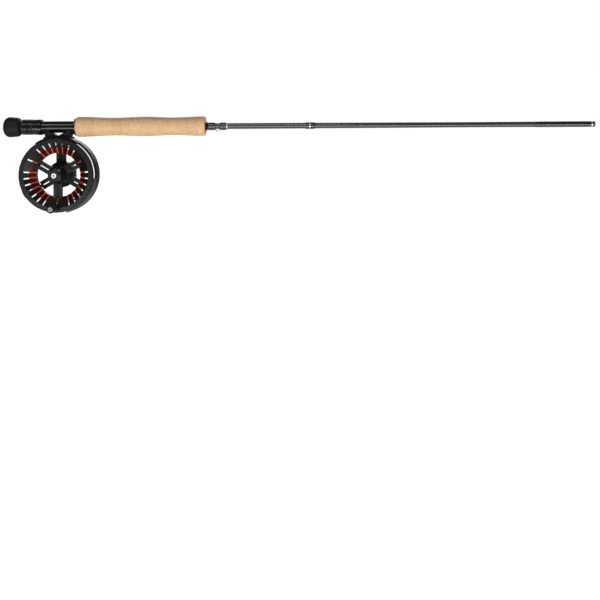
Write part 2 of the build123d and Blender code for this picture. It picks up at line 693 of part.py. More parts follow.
def reel_frame():
    """Half-open cage on a hub plate: foot bar, band down the line side, three arms and a pillar."""
    frame = ring_on_reel(HUB_PLATE_RADIUS, SPINDLE_RADIUS, ARM_FRONT_Y - 0.4, HUB_PLATE_REAR_Y)
    frame += cage_band(CAGE_MIDDLE_Y, CAGE_REAR_Y, CAGE_START_ANGLE, CAGE_END_ANGLE)
    frame += cage_band(CAGE_FRONT_Y, CAGE_REAR_Y, TOP_BAR_START_ANGLE, CAGE_END_ANGLE)
    frame += foot_arm()
    frame += frame_arm(330, True)
    frame += frame_arm(210, True)
    pillar = cage_band(CAGE_FRONT_Y, CAGE_REAR_Y, 210 - PILLAR_HALF_ANGLE, 210 + PILLAR_HALF_ANGLE)
    frame += pillar
    pad_top = REEL_DROP - FOOT_PAD_DROP
    pad_base = CAGE_INNER_RADIUS * math.cos(math.asin(PEDESTAL_LENGTH / 2 / CAGE_INNER_RADIUS))
    depth = CAGE_REAR_Y - CAGE_FRONT_Y
    pad = Pos(0, (CAGE_REAR_Y + CAGE_FRONT_Y) / 2, (pad_top + pad_base) / 2) * Box(
        PEDESTAL_LENGTH, depth, pad_top - pad_base
    )
    inside = ring_on_reel(CAGE_INNER_RADIUS, 0, CAGE_FRONT_Y - 1, CAGE_REAR_Y + 1)
    above = Pos(0, 0, pad_top + 5) * Box(3 * PEDESTAL_LENGTH, 3 * depth, 10)
    frame += pad - inside
    frame -= above
    for x in foot_screw_places():
        seat = foot_screw_floor(x)
        head = FOOT_SCREW_HEAD_RADIUS + GLUE
        shank = FOOT_SCREW_RADIUS + GLUE
        frame -= Pos(x, 0, pad_top - 2) * Cylinder(shank, 8)
        frame -= Pos(x, 0, seat + FOOT_SCREW_HEAD / 2) * Cone(head, shank, FOOT_SCREW_HEAD)
        frame -= Pos(x, 0, seat - 2) * Cylinder(head, 4)
    for angle in GUARD_SCREW_ANGLES:
        middle = (CAGE_RADIUS + CAGE_INNER_RADIUS) / 2
        hole = GUARD_SCREW_SHANK_RADIUS + GLUE
        frame -= axial_cylinder(hole, GUARD_SCREW_BITE, CAGE_MIDDLE_Y - 0.1, middle, angle)
    return frame


def line_guard():
    """Curved bar screwed to the front edge of the cage's band, beside the spool's rim."""
    guard = cage_band(CAGE_FRONT_Y, CAGE_MIDDLE_Y - GLUE, GUARD_START_ANGLE, GUARD_END_ANGLE)
    middle = (CAGE_RADIUS + CAGE_INNER_RADIUS) / 2
    for angle in GUARD_SCREW_ANGLES:
        guard -= axial_cylinder(GUARD_SCREW_SHANK_RADIUS + GLUE, 12, CAGE_FRONT_Y - 1, middle, angle)
        guard -= axial_cylinder(GUARD_SCREW_RADIUS + GLUE, 2, CAGE_FRONT_Y - 1, middle, angle)
    return guard


def guard_screws():
    """Small screws through the line guard into the cage's band."""
    middle = (CAGE_RADIUS + CAGE_INNER_RADIUS) / 2
    screws = []
    for angle in GUARD_SCREW_ANGLES:
        head = axial_cylinder(GUARD_SCREW_RADIUS, 1.0, CAGE_FRONT_Y, middle, angle)
        length = CAGE_MIDDLE_Y - CAGE_FRONT_Y + GUARD_SCREW_BITE - 1
        shank = axial_cylinder(GUARD_SCREW_SHANK_RADIUS, length, CAGE_FRONT_Y + 0.5, middle, angle)
        screws.extend((head + shank).solids())
    return Compound(children=screws)


# ---- reel: spool ---------------------------------------------------------------------------------------
def cone_y(radius):
    """Y of the dish's front surface at a radius."""
    return DISH_FLOOR_Y + CONE_SLOPE * (radius - ARBOR_INNER_RADIUS)


def slot_angles():
    """Angle and outer radius of every radial slot."""
    slots = []
    for middle in GROUP_ANGLES:
        for i in range(SLOTS_IN_GROUP):
            slots.append((middle + SLOT_PITCH * (i - (SLOTS_IN_GROUP - 1) / 2), DISH_RADIUS))
    for angle in SPOKE_ANGLES:
        end = HANDLE_SLOT_END if angle == HANDLE_ANGLE else DISH_RADIUS
        slots.append((angle, end))
    return slots


def slot_cutters():
    """Radial slots with round ends, open to the dish's floor, with a scallop at each inner mouth."""
    front = FACE_Y - 1
    rear = DISH_FLOOR_Y + 2.0
    half = SLOT_WIDTH / 2
    cutters = []
    for angle, end in slot_angles():
        slot = radial_bar(ARBOR_INNER_RADIUS - 1, end - half, SLOT_WIDTH, front, rear)
        cutters.append(at_angle(slot, angle))
        cutters.append(axial_cylinder(half, rear - front, front, end - half, angle))
        cutters.append(axial_cylinder(SLOT_WIDTH, rear - front, front, ARBOR_INNER_RADIUS - 0.9, angle))
    return cutters


def cone_band(inner, outer, lift, thickness):
    """Turned strip that follows the dish, from lift behind its front surface."""
    return turned_on_reel(
        (inner, cone_y(inner) + lift),
        (outer, cone_y(outer) + lift),
        (outer, cone_y(outer) + lift + thickness),
        (inner, cone_y(inner) + lift + thickness),
    )


def teardrop(clearance):
    """Window in a spoke's pad that bares the arbor round its slot."""
    width = TEARDROP_WIDTH - 2 * clearance
    inner = ARBOR_INNER_RADIUS + TEARDROP_END_WALL + clearance
    return radial_bar(inner, RED_EDGE_RADIUS - TEARDROP_EDGE_WALL, width, FACE_Y - 2, 5)


def pad_recesses(clearance):
    """Recesses in the arbor's front that the spool's pads lie in."""
    band = cone_band(ARBOR_INNER_RADIUS - 2, RED_EDGE_RADIUS + GLUE, -1, PAD_DEPTH + 1 + clearance)
    half = PAD_HALF_ANGLE + math.degrees(clearance / RED_EDGE_RADIUS)
    recesses = []
    for angle in SPOKE_ANGLES:
        slice_of_band = band & sector(DISH_RADIUS, angle - half, angle + half, FACE_Y - 2, 5)
        slice_of_band -= at_angle(teardrop(clearance), angle)
        recesses.extend(slice_of_band.solids())
    return recesses


def spokes(clearance):
    """Spokes of the spool, which reach from the hub into the arbor's front edge."""
    bars = []
    for angle in SPOKE_ANGLES:
        bar = radial_bar(
            SPOKE_INNER_RADIUS,
            ARBOR_BAND_RADIUS + clearance,
            ARM_WIDTH + 2 * clearance,
            SPOKE_FRONT_Y - clearance,
            SPOKE_REAR_Y + clearance,
        )
        bars.append(at_angle(bar, angle))
    return bars


def spool():
    """Black half of the spool: palming rim, outer dish, spoke pads, slotted spokes and hub."""
    edge = 1.0
    rim_inner = RIM_RADIUS - 2.0
    line_face = FACE_Y + SPOOL_WALL
    body = turned_on_reel(
        (ARBOR_INNER_RADIUS, cone_y(ARBOR_INNER_RADIUS)),
        (DISH_RADIUS, FACE_Y),
        (RIM_RADIUS - edge, FACE_Y),
        (RIM_RADIUS, FACE_Y + edge),
        (RIM_RADIUS, FACE_Y + RIM_DEPTH),
        (rim_inner, FACE_Y + RIM_DEPTH),
        (rim_inner, line_face),
        (DISH_RADIUS, line_face),
        (RED_EDGE_RADIUS, cone_y(RED_EDGE_RADIUS) + SPOOL_WALL),
        (RED_EDGE_RADIUS, cone_y(RED_EDGE_RADIUS) + PAD_DEPTH),
        (ARBOR_INNER_RADIUS, cone_y(ARBOR_INNER_RADIUS) + PAD_DEPTH),
    )
    between_pads = ring_on_reel(RED_EDGE_RADIUS, ARBOR_INNER_RADIUS - 1, FACE_Y, 5)
    open_half = SPOKE_SPREAD / 2 - PAD_HALF_ANGLE
    for angle in GROUP_ANGLES:
        body -= between_pads & sector(DISH_RADIUS, angle - open_half, angle + open_half, FACE_Y - 1, 6)
    for angle in SPOKE_ANGLES:
        body -= at_angle(teardrop(0), angle)
    for groove in (RIM_RADIUS - 3.6, RIM_RADIUS - 2.2):
        body -= ring_on_reel(groove + 0.35, groove, FACE_Y - 1, FACE_Y + 0.25)
    boss = BOSS_REAR_Y - HANDLE_BASE_Y
    body += axial_cylinder(HANDLE_BOSS_RADIUS, boss, HANDLE_BASE_Y, HANDLE_RADIUS, HANDLE_ANGLE)
    for bar in spokes(0):
        body += bar
    body += turned_on_reel(
        (BEARING_RADIUS, HUB_FRONT_Y),
        (HUB_NECK_RADIUS, HUB_FRONT_Y),
        (HUB_NECK_RADIUS, SPOKE_FRONT_Y - 5),
        (HUB_RADIUS, SPOKE_FRONT_Y),
        (HUB_RADIUS, HUB_REAR_Y),
        (BEARING_RADIUS, HUB_REAR_Y),
    )
    for angle in SPOKE_ANGLES:
        rear = (SPOKE_FRONT_Y + SPOKE_REAR_Y) / 2 if angle == HANDLE_ANGLE else SPOKE_REAR_Y + 1
        slot = radial_bar(HUB_RADIUS + 1.5, ARBOR_INNER_RADIUS - 2.5, ARM_SLOT, FACE_Y, rear)
        body -= at_angle(slot, angle)
    for cutter in slot_cutters():
        body -= cutter
    body -= axial_cylinder(HANDLE_PIN_RADIUS + GLUE, 12, HANDLE_BASE_Y - 1, HANDLE_RADIUS, HANDLE_ANGLE)
    return body


def spool_arbor():
    """Red V-shaped arbor: grooved front ribs on a band that the line is wound on."""
    arbor = turned_on_reel(
        (ARBOR_INNER_RADIUS, DISH_FLOOR_Y),
        (RED_EDGE_RADIUS - GLUE, cone_y(RED_EDGE_RADIUS - GLUE)),
        (RED_EDGE_RADIUS - GLUE, cone_y(RED_EDGE_RADIUS - GLUE) + SPOOL_WALL),
        (ARBOR_BAND_RADIUS, cone_y(ARBOR_BAND_RADIUS) + SPOOL_WALL),
        (ARBOR_BAND_RADIUS, ARBOR_REAR_Y),
        (ARBOR_INNER_RADIUS, ARBOR_REAR_Y),
    )
    grooves = cone_band(ARBOR_INNER_RADIUS - 2, DISH_RADIUS, -SPOOL_WALL, SPOOL_WALL + RIB_GROOVE_DEPTH)
    for cutter in slot_cutters():
        arbor -= cutter & grooves
    for recess in pad_recesses(GLUE):
        arbor -= recess
    for bar in spokes(GLUE):
        arbor -= bar
    return arbor


def rear_flange():
    """Rear half of the spool's V, with three large windows between its ribs."""
    inner = ARBOR_BAND_RADIUS + GLUE
    foot = ARBOR_REAR_Y - 2.6
    flange = turned_on_reel(
        (inner, foot),
        (inner + 1.6, foot),
        (REAR_FLANGE_RADIUS - 1, REAR_FLANGE_Y),
        (REAR_FLANGE_RADIUS, REAR_FLANGE_Y),
        (REAR_FLANGE_RADIUS, REAR_FLANGE_Y + REAR_FLANGE_WALL),
        (inner + 1.2, ARBOR_REAR_Y + 0.4),
        (inner, ARBOR_REAR_Y + 0.4),
    )
    window = ring_on_reel(REAR_FLANGE_RADIUS - 1.8, inner + 2.0, foot - 1, REAR_FLANGE_Y + 5)
    gap = SPOKE_SPREAD - 2 * REAR_RIB_HALF_ANGLE
    for angle in GROUP_ANGLES:
        start = angle - gap / 2
        flange -= window & sector(REAR_FLANGE_RADIUS + 1, start, start + gap, foot - 2, REAR_FLANGE_Y + 6)
    return flange


def ball_bearing(front):
    """Shielded ball bearing, shown as inner race, shield and outer race in one ring."""
    inner = SPINDLE_RADIUS + RUNNING
    outer = BEARING_RADIUS - GLUE
    race = 0.6
    step = 0.25
    rear = front + BEARING_WIDTH
    return turned_on_reel(
        (inner, front),
        (inner + race, front),
        (inner + race, front + step),
        (outer - race, front + step),
        (outer - race, front),
        (outer, front),
        (outer, rear),
        (inner, rear),
    )


def one_way_clutch():
    """Roller clutch between the spool's hub and the drag's sleeve."""
    front = CLUTCH_REAR_Y - CLUTCH_LENGTH
    return ring_on_reel(BEARING_RADIUS - GLUE, CLUTCH_INNER_RADIUS, front, CLUTCH_REAR_Y)


def hub_cap():
    """Screw-in cap that holds the spool on its spindle."""
    rear = HUB_FRONT_Y - GLUE
    crown = 0.9
    return turned_on_reel(
        (0, CAP_FRONT_Y),
        (CAP_RADIUS - 1.6, CAP_FRONT_Y),
        (CAP_RADIUS - 0.3, CAP_FRONT_Y + crown),
        (CAP_RADIUS, CAP_FRONT_Y + 2 * crown),
        (CAP_RADIUS, rear),
        (SPINDLE_RADIUS + 1, rear),
        (SPINDLE_RADIUS + 1, rear - 3),
        (0, rear - 3),
    )


def cap_badge():
    """Plain enamelled ring on the hub cap."""
    front = CAP_FRONT_Y - BADGE_HEIGHT
    return ring_on_reel(BADGE_RADIUS, BADGE_HOLE_RADIUS, front, CAP_FRONT_Y - GLUE)


def handle_spindle():
    """Steel pin, riveted into the spool's boss, that the handle turns on."""
    front = HANDLE_TIP_Y + 1.0
    rear = BOSS_REAR_Y
    thick = AIR * 0.6
    collar_front = HANDLE_BASE_Y - thick - GLUE
    pin = axial_cylinder(HANDLE_PIN_RADIUS, rear - front, front, HANDLE_RADIUS, HANDLE_ANGLE)
    return pin + axial_cylinder(HANDLE_PIN_RADIUS + 1.2, thick, collar_front, HANDLE_RADIUS, HANDLE_ANGLE)


def handle_knob():
    """Waisted handle knob with a recess in its end for the screw."""
    base = HANDLE_BASE_Y - AIR
    tip = HANDLE_TIP_Y
    length = base - tip
    rim = 1.0
    recess = 1.6
    head = HANDLE_SCREW_RADIUS + 0.25
    bore = HANDLE_PIN_RADIUS + RUNNING
    outline = Wire(
        [
            *Polyline((bore, base), (HANDLE_BASE_RADIUS - rim, base), (HANDLE_BASE_RADIUS, base - rim)).edges(),
            *Spline(
                (HANDLE_BASE_RADIUS, base - rim),
                (HANDLE_WAIST_RADIUS, base - 0.55 * length),
                (HANDLE_END_RADIUS, tip + rim),
            ).edges(),
            *Polyline(
                (HANDLE_END_RADIUS, tip + rim),
                (HANDLE_END_RADIUS - rim, tip),
                (head, tip),
                (head, tip + recess),
                (bore, tip + recess),
                (bore, base),
            ).edges(),
        ]
    )
    knob = revolve(make_face(outline), Axis.Y)
    return at_angle(Pos(HANDLE_RADIUS, 0, 0) * knob, HANDLE_ANGLE)


def handle_screw():
    """Bright round-headed screw with a socket, in the handle's end."""
    front = HANDLE_TIP_Y - 0.5
    rear = HANDLE_TIP_Y + 1.0 - GLUE
    head = axial_cylinder(HANDLE_SCREW_RADIUS, rear - front, front, HANDLE_RADIUS, HANDLE_ANGLE)
    hexagon = Plane.XZ * RegularPolygon(HANDLE_SOCKET_RADIUS, 6)
    socket = extrude(hexagon, amount=HANDLE_SOCKET_DEPTH + 1, dir=(0, 1, 0))
    return head - at_angle(Pos(HANDLE_RADIUS, front - 1, 0) * socket, HANDLE_ANGLE)


def counterweight():
    """Brass weight bonded behind the rim, opposite the handle."""
    front = FACE_Y + SPOOL_WALL + GLUE
    rear = FACE_Y + RIM_DEPTH - 0.2
    ring = ring_on_reel(RIM_RADIUS - 2.0 - GLUE, DISH_RADIUS + 0.6, front, rear)
    middle = HANDLE_ANGLE - 180
    start = middle - WEIGHT_HALF_ANGLE
    return ring & sector(RIM_RADIUS, start, start + 2 * WEIGHT_HALF_ANGLE, front - 1, rear + 1)


# ---- reel: spindle and drag ----------------------------------------------------------------------------
def spindle():
    """Steel spindle in the hub plate: the spool runs on its front end and the drag knob on its rear."""
    front = HUB_FRONT_Y + 0.3
    radius = SPINDLE_RADIUS - GLUE
    return turned_on_reel((0, front), (radius, front), (radius, SPINDLE_REAR_Y), (0, SPINDLE_REAR_Y))


def drag_stack_inner():
    """Inner radius of the rings in the drag stack."""
    return CLUTCH_INNER_RADIUS + RUNNING


def drag_housing():
    """Sealed drag cup against the hub plate, with a hole for the drag's sleeve."""
    rear = ARM_FRONT_Y - 0.4 - GLUE
    hole = CLUTCH_INNER_RADIUS + 1.0
    inner = DRAG_HOUSING_RADIUS - DRAG_HOUSING_WALL
    floor = DRAG_HOUSING_FRONT_Y + DRAG_HOUSING_WALL
    return turned_on_reel(
        (hole, DRAG_HOUSING_FRONT_Y),
        (DRAG_HOUSING_RADIUS - 1, DRAG_HOUSING_FRONT_Y),
        (DRAG_HOUSING_RADIUS, DRAG_HOUSING_FRONT_Y + 1),
        (DRAG_HOUSING_RADIUS, rear),
        (inner, rear),
        (inner, floor),
        (hole, floor),
    )


def drag_seal():
    """O-ring between the drag cup and the drag's sleeve."""
    radius = (CLUTCH_INNER_RADIUS + CLUTCH_INNER_RADIUS + 1.0) / 2
    thickness = 0.45
    ring = Rot(90, 0, 0) * Torus(radius, thickness)
    return Pos(0, DRAG_HOUSING_FRONT_Y + DRAG_HOUSING_WALL / 2, 0) * ring


def drag_sleeve():
    """Sleeve that carries the one-way clutch at the front and the drag plates at the rear."""
    front = CLUTCH_REAR_Y - CLUTCH_LENGTH
    rear = ARM_FRONT_Y - 1.0
    return ring_on_reel(CLUTCH_INNER_RADIUS - RUNNING, SPINDLE_RADIUS + RUNNING, front, rear)


def drag_rings(count, thickness, first):
    """Evenly stacked rings of the drag."""
    outer = DRAG_HOUSING_RADIUS - DRAG_HOUSING_WALL - 0.3
    pitch = DRAG_DISC_THICKNESS + DRAG_PLATE_THICKNESS + 2 * DRAG_STACK_GAP
    rings = []
    for i in range(count):
        front = first + i * pitch
        rings.extend(ring_on_reel(outer, drag_stack_inner(), front, front + thickness).solids())
    return Compound(children=rings)


def drag_spring(front):
    """Conical spring washer that presses the stack together."""
    rear = ARM_FRONT_Y - 0.5
    wall = 0.5
    outer = DRAG_HOUSING_RADIUS - DRAG_HOUSING_WALL - 1.0
    inner = drag_stack_inner() + 1.0
    return turned_on_reel((outer, front), (outer, front + wall), (inner, rear), (inner, rear - wall))


def drag_knob():
    """Drag adjusting knob with finger lobes, turning on the spindle behind the frame."""
    bore = SPINDLE_RADIUS + RUNNING - GLUE
    edge = 1.2
    screw_floor = DRAG_KNOB_REAR_Y - KNOB_SCREW_SINK
    knob = turned_on_reel(
        (bore, DRAG_KNOB_FRONT_Y),
        (DRAG_KNOB_RADIUS - edge, DRAG_KNOB_FRONT_Y),
        (DRAG_KNOB_RADIUS, DRAG_KNOB_FRONT_Y + edge),
        (DRAG_KNOB_RADIUS, DRAG_KNOB_REAR_Y - edge),
        (DRAG_KNOB_RADIUS - edge, DRAG_KNOB_REAR_Y),
        (DRAG_KNOB_SCREW_RADIUS + 0.3, DRAG_KNOB_REAR_Y),
        (DRAG_KNOB_SCREW_RADIUS + 0.3, screw_floor),
        (bore, screw_floor),
    )
    reach = DRAG_KNOB_RADIUS + DRAG_KNOB_LOBE_RADIUS - DRAG_KNOB_LOBE_DEPTH
    length = DRAG_KNOB_REAR_Y - DRAG_KNOB_FRONT_Y
    lobe_front = DRAG_KNOB_FRONT_Y + DRAG_KNOB_COLLAR
    for i in range(DRAG_KNOB_LOBES):
        angle = 360 * i / DRAG_KNOB_LOBES
        knob -= axial_cylinder(DRAG_KNOB_LOBE_RADIUS, length, lobe_front, reach, angle)
    return knob


def knob_screw():
    """Screw that keeps the drag knob on the spindle."""
    seat = DRAG_KNOB_REAR_Y - KNOB_SCREW_SINK + AIR / 2
    stem_front = SPINDLE_REAR_Y + GLUE
    rear = seat + KNOB_SCREW_HEAD
    stem = SPINDLE_RADIUS - 1
    screw = turned_on_reel(
        (0, stem_front),
        (stem, stem_front),
        (stem, seat),
        (DRAG_KNOB_SCREW_RADIUS, seat),
        (DRAG_KNOB_SCREW_RADIUS, rear),
        (0, rear),
    )
    coin_slot = Pos(0, rear, 0) * Box(2 * DRAG_KNOB_SCREW_RADIUS + 1, 1.2, 1.2)
    return screw - coin_slot


def main():
    """Builds every node and writes it."""
    os.makedirs("parts", exist_ok=True)
    rod = {
        "blank": blank(),
        "fighting_butt": fighting_butt(),
        "butt_plug": butt_plug(),
        "seat_tube": seat_tube(),
        "seat_bushing_rear": seat_bushing(BLANK_START_STATION + 2),
        "seat_bushing_front": seat_bushing(SEAT_END_STATION - ARBOR_LENGTH),
        "jam_nut": ring_nut(JAM_NUT_STATION, JAM_NUT_LENGTH),
        "lock_nut": ring_nut(LOCK_NUT_STATION, LOCK_NUT_LENGTH),
        "hood_washer": hood_washer(),
        "sliding_hood": sliding_hood(),
        "front_hood": front_hood(),
        "cork_rings": cork_rings(),
        "winding_check": winding_check(),
        "keeper_wrap_rear": keeper_wrap(CHECK_END_STATION + GLUE, KEEPER_WRAP_LENGTH),
        "hook_keeper": keeper_wire(),
        "keeper_wrap_front": keeper_wrap(KEEPER_FRONT_STATION, KEEPER_FRONT_WRAP_LENGTH),
        "keeper_trim": trim_ring(TRIM_STATION + GLUE, TRIM_LENGTH, 0.7),
        "mid_wrap": mid_wrap(),
        "mid_trim": mid_trim(),
        "ferrule_wrap": ferrule_wrap(),
        "ferrule_band": trim_ring(FERRULE_BAND_STATION + GLUE, FERRULE_BAND_LENGTH, 0.12),
        "reel_foot": reel_foot(),
        "foot_screws": foot_screws(),
    }
    stack_front = DRAG_HOUSING_FRONT_Y + DRAG_HOUSING_WALL + 0.3
    plate_front = stack_front + DRAG_DISC_THICKNESS + DRAG_STACK_GAP
    pitch = DRAG_DISC_THICKNESS + DRAG_PLATE_THICKNESS + 2 * DRAG_STACK_GAP
    spring_front = stack_front + 2 * pitch + DRAG_DISC_THICKNESS + DRAG_STACK_GAP
    reel = {
        "reel_frame": reel_frame(),
        "line_guard": line_guard(),
        "guard_screws": guard_screws(),
        "spindle": spindle(),
        "drag_housing": drag_housing(),
        "drag_seal": drag_seal(),
        "drag_sleeve": drag_sleeve(),
        "drag_discs": drag_rings(3, DRAG_DISC_THICKNESS, stack_front),
        "drag_plates": drag_rings(2, DRAG_PLATE_THICKNESS, plate_front),
        "drag_spring": drag_spring(spring_front),
        "drag_knob": drag_knob(),
        "knob_screw": knob_screw(),
        "spool": spool(),
        "spool_arbor": spool_arbor(),
        "rear_flange": rear_flange(),
        "bearing_front": ball_bearing(HUB_FRONT_Y + 0.5),
        "bearing_rear": ball_bearing(CLUTCH_REAR_Y - CLUTCH_LENGTH - 0.3 - BEARING_WIDTH),
        "one_way_clutch": one_way_clutch(),
        "hub_cap": hub_cap(),
        "cap_badge": cap_badge(),
        "handle_spindle": handle_spindle(),
        "handle_knob": handle_knob(),
        "handle_screw": handle_screw(),
        "counterweight": counterweight(),
    }
    for name, shape in rod.items():
        write(name, shape)
    for name, shape in reel.items():
        write(name, shape, REEL_PLACE)


main()
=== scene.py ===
import json
import logging
import math
from dataclasses import dataclass
from enum import Enum
from typing import Any

import bpy
import numpy as np
from mathutils import Matrix, Vector


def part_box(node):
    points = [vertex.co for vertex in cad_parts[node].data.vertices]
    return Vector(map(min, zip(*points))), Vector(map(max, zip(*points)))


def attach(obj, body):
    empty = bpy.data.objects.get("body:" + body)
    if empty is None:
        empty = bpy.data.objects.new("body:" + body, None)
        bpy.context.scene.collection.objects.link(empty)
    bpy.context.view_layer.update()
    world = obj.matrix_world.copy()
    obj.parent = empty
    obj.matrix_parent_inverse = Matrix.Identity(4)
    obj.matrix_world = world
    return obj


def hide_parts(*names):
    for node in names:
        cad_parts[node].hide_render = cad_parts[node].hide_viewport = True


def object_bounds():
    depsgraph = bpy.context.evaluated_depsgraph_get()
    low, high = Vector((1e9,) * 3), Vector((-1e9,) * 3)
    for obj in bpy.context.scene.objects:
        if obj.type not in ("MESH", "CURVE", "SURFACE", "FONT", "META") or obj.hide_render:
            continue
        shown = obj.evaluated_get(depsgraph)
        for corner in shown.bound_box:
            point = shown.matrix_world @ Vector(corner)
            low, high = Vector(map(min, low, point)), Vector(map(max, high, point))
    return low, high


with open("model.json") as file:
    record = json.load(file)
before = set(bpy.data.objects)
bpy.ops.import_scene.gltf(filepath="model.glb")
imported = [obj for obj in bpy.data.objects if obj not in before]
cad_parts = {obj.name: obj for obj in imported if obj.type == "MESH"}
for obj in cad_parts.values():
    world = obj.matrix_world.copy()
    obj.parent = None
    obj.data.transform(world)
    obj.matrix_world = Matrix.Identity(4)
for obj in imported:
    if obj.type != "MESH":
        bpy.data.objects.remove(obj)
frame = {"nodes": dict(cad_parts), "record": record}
CAD_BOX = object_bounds()

MM = 0.001
# Length of one wave of the wave texture at a scale of one.
WAVE_LENGTH = 0.314
# Octaves of noise in the tones and in the relief, and the roughness of the tones' noise.
TONE_OCTAVES, RELIEF_OCTAVES, TONE_NOISE_ROUGHNESS = 6.0, 3.0, 0.6
# Noise below the first is one tone, above the second it is the other, and between them they blend.
BLEND_START, BLEND_END = 0.3, 0.7
# Mesh layer that carries the cork's pits to its material.
PIT_LAYER = "pit"
LOG = logging.getLogger("fly_rod")


class Turned(Enum):
    """Axis that a piece is turned about: the rod lies along X and the reel's axis along Y."""

    ROD = "X"
    REEL = "Y"


# ---- nodes and colours ---------------------------------------------------------------------------------
def linear(hex_colour: str) -> tuple[float, float, float, float]:
    """Turns an sRGB hex colour into linear light by the standard curve.

    Args:
        hex_colour: Six hex digits after a hash.

    Returns:
        Linear red, green and blue, and an alpha of one.
    """
    values = [int(hex_colour[i : i + 2], 16) / 255 for i in (1, 3, 5)]
    red, green, blue = [v / 12.92 if v <= 0.04045 else ((v + 0.055) / 1.055) ** 2.4 for v in values]
    return red, green, blue, 1.0


def add_node(tree: Any, kind: str, settings: dict[Any, Any], links: dict[Any, Any]) -> Any:
    """Adds a shader node with its settings and links.

    Args:
        tree: Node tree that takes the node.
        kind: Node type without its ShaderNode prefix.
        settings: Attributes, or input values where the key names an input or gives its number.
        links: Input name or number to the output socket that feeds it.

    Returns:
        The new node.
    """
    node = tree.nodes.new("ShaderNode" + kind)
    for key, value in settings.items():
        if isinstance(key, str) and hasattr(node, key):
            setattr(node, key, value)
        else:
            node.inputs[key].default_value = value
    for key, socket in links.items():
        tree.links.new(socket, node.inputs[key])
    return node


@dataclass(frozen=True)
class Finish:
    """A surface of two close tones laid in a noise, with a fine relief under it.

    A subclass changes the tones' pattern or the relief, or lays more over them in its overlay method.
    """

    name: str
    tone: str
    other_tone: str
    roughness: float
    roughness_spread: float = 0.06
    metallic: float = 0.0
    coat: float = 0.0
    coat_roughness: float = 0.08
    ior: float = 1.5
    patch: float = 6 * MM
    grain: float = 0.5 * MM
    relief: float = 0.02 * MM
    stretch: tuple[float, float, float] = (1.0, 1.0, 1.0)

    def place(self, tree: Any) -> Any:
        """Gives the Object coordinates, stretched along the way that the surface was worked."""
        where = add_node(tree, "TexCoord", {}, {}).outputs["Object"]
        return add_node(tree, "Mapping", {"Scale": self.stretch}, {"Vector": where}).outputs[0]

    def pattern(self, tree: Any, place: Any) -> Any:
        """Gives the socket, from nought to one, that mixes the two tones."""
        settings = {"Scale": 1 / self.patch, "Detail": TONE_OCTAVES, "Roughness": TONE_NOISE_ROUGHNESS}
        return add_node(tree, "TexNoise", settings, {"Vector": place}).outputs["Fac"]

    def height(self, tree: Any, place: Any) -> Any:
        """Gives the socket, from nought to one, that raises the surface."""
        settings = {"Scale": 1 / self.grain, "Detail": RELIEF_OCTAVES}
        return add_node(tree, "TexNoise", settings, {"Vector": place}).outputs["Fac"]

    def overlay(self, tree: Any, shader: Any) -> None:
        """Lays nothing over the two tones; a subclass may lay more."""

    def material(self) -> bpy.types.Material:
        """Builds the material, or gives the one already built.

        Returns:
            The material, with both tones, the roughness spread and the relief linked to its shader.
        """
        made = bpy.data.materials.get(self.name)
        if made:
            return made
        made = bpy.data.materials.new(self.name)
        made.use_nodes = True
        tree = made.node_tree
        shader = tree.nodes["Principled BSDF"]
        place = self.place(tree)
        pattern = self.pattern(tree, place)
        ramp = add_node(tree, "ValToRGB", {}, {"Fac": pattern})
        first, other = ramp.color_ramp.elements
        first.position, first.color = BLEND_START, linear(self.tone)
        other.position, other.color = BLEND_END, linear(self.other_tone)
        tree.links.new(ramp.outputs["Color"], shader.inputs["Base Color"])
        low, high = self.roughness - self.roughness_spread, self.roughness + self.roughness_spread
        worn = add_node(tree, "MapRange", {"To Min": low, "To Max": high}, {"Value": pattern})
        tree.links.new(worn.outputs["Result"], shader.inputs["Roughness"])
        bump = {"Strength": 1.0, "Distance": self.relief}
        raised = add_node(tree, "Bump", bump, {"Height": self.height(tree, place)})
        tree.links.new(raised.outputs["Normal"], shader.inputs["Normal"])
        shader.inputs["Metallic"].default_value = self.metallic
        shader.inputs["Coat Weight"].default_value = self.coat
        shader.inputs["Coat Roughness"].default_value = self.coat_roughness
        if not self.metallic:
            shader.inputs["IOR"].default_value = self.ior
        self.overlay(tree, shader)
        return made


@dataclass(frozen=True)
class Lathed(Finish):
    """Metal turned on a lathe: rings about the piece's axis, drawn coarser than a real feed so that they show."""

    axis: Turned = Turned.REEL
    centre: tuple[float, float, float] = (0.0, 0.0, 0.0)
    feed: float = 0.5 * MM
    wander: float = 0.4
    octaves: float = 2.0

    def from_centre(self, tree: Any) -> Any:
        """Adds the place measured from the turning's centre.

        Args:
            tree: Node tree that takes the nodes.

        Returns:
            The socket.
        """
        where = add_node(tree, "TexCoord", {}, {}).outputs["Object"]
        moved = tuple(-c for c in self.centre)
        return add_node(tree, "Mapping", {"Location": moved}, {"Vector": where}).outputs[0]

    def height(self, tree: Any, place: Any) -> Any:
        """Gives rings about the axis with a little noise in them, as a turning tool leaves.

        Args:
            tree: Node tree that takes the nodes.
            place: Not used: the rings go by the place from the centre.

        Returns:
            The socket, from nought to one.
        """
        settings = {
            "wave_type": "RINGS",
            "rings_direction": self.axis.value,
            "Scale": WAVE_LENGTH / self.feed,
            "Distortion": self.wander,
            "Detail": self.octaves,
        }
        return add_node(tree, "TexWave", settings, {"Vector": self.from_centre(tree)}).outputs["Fac"]


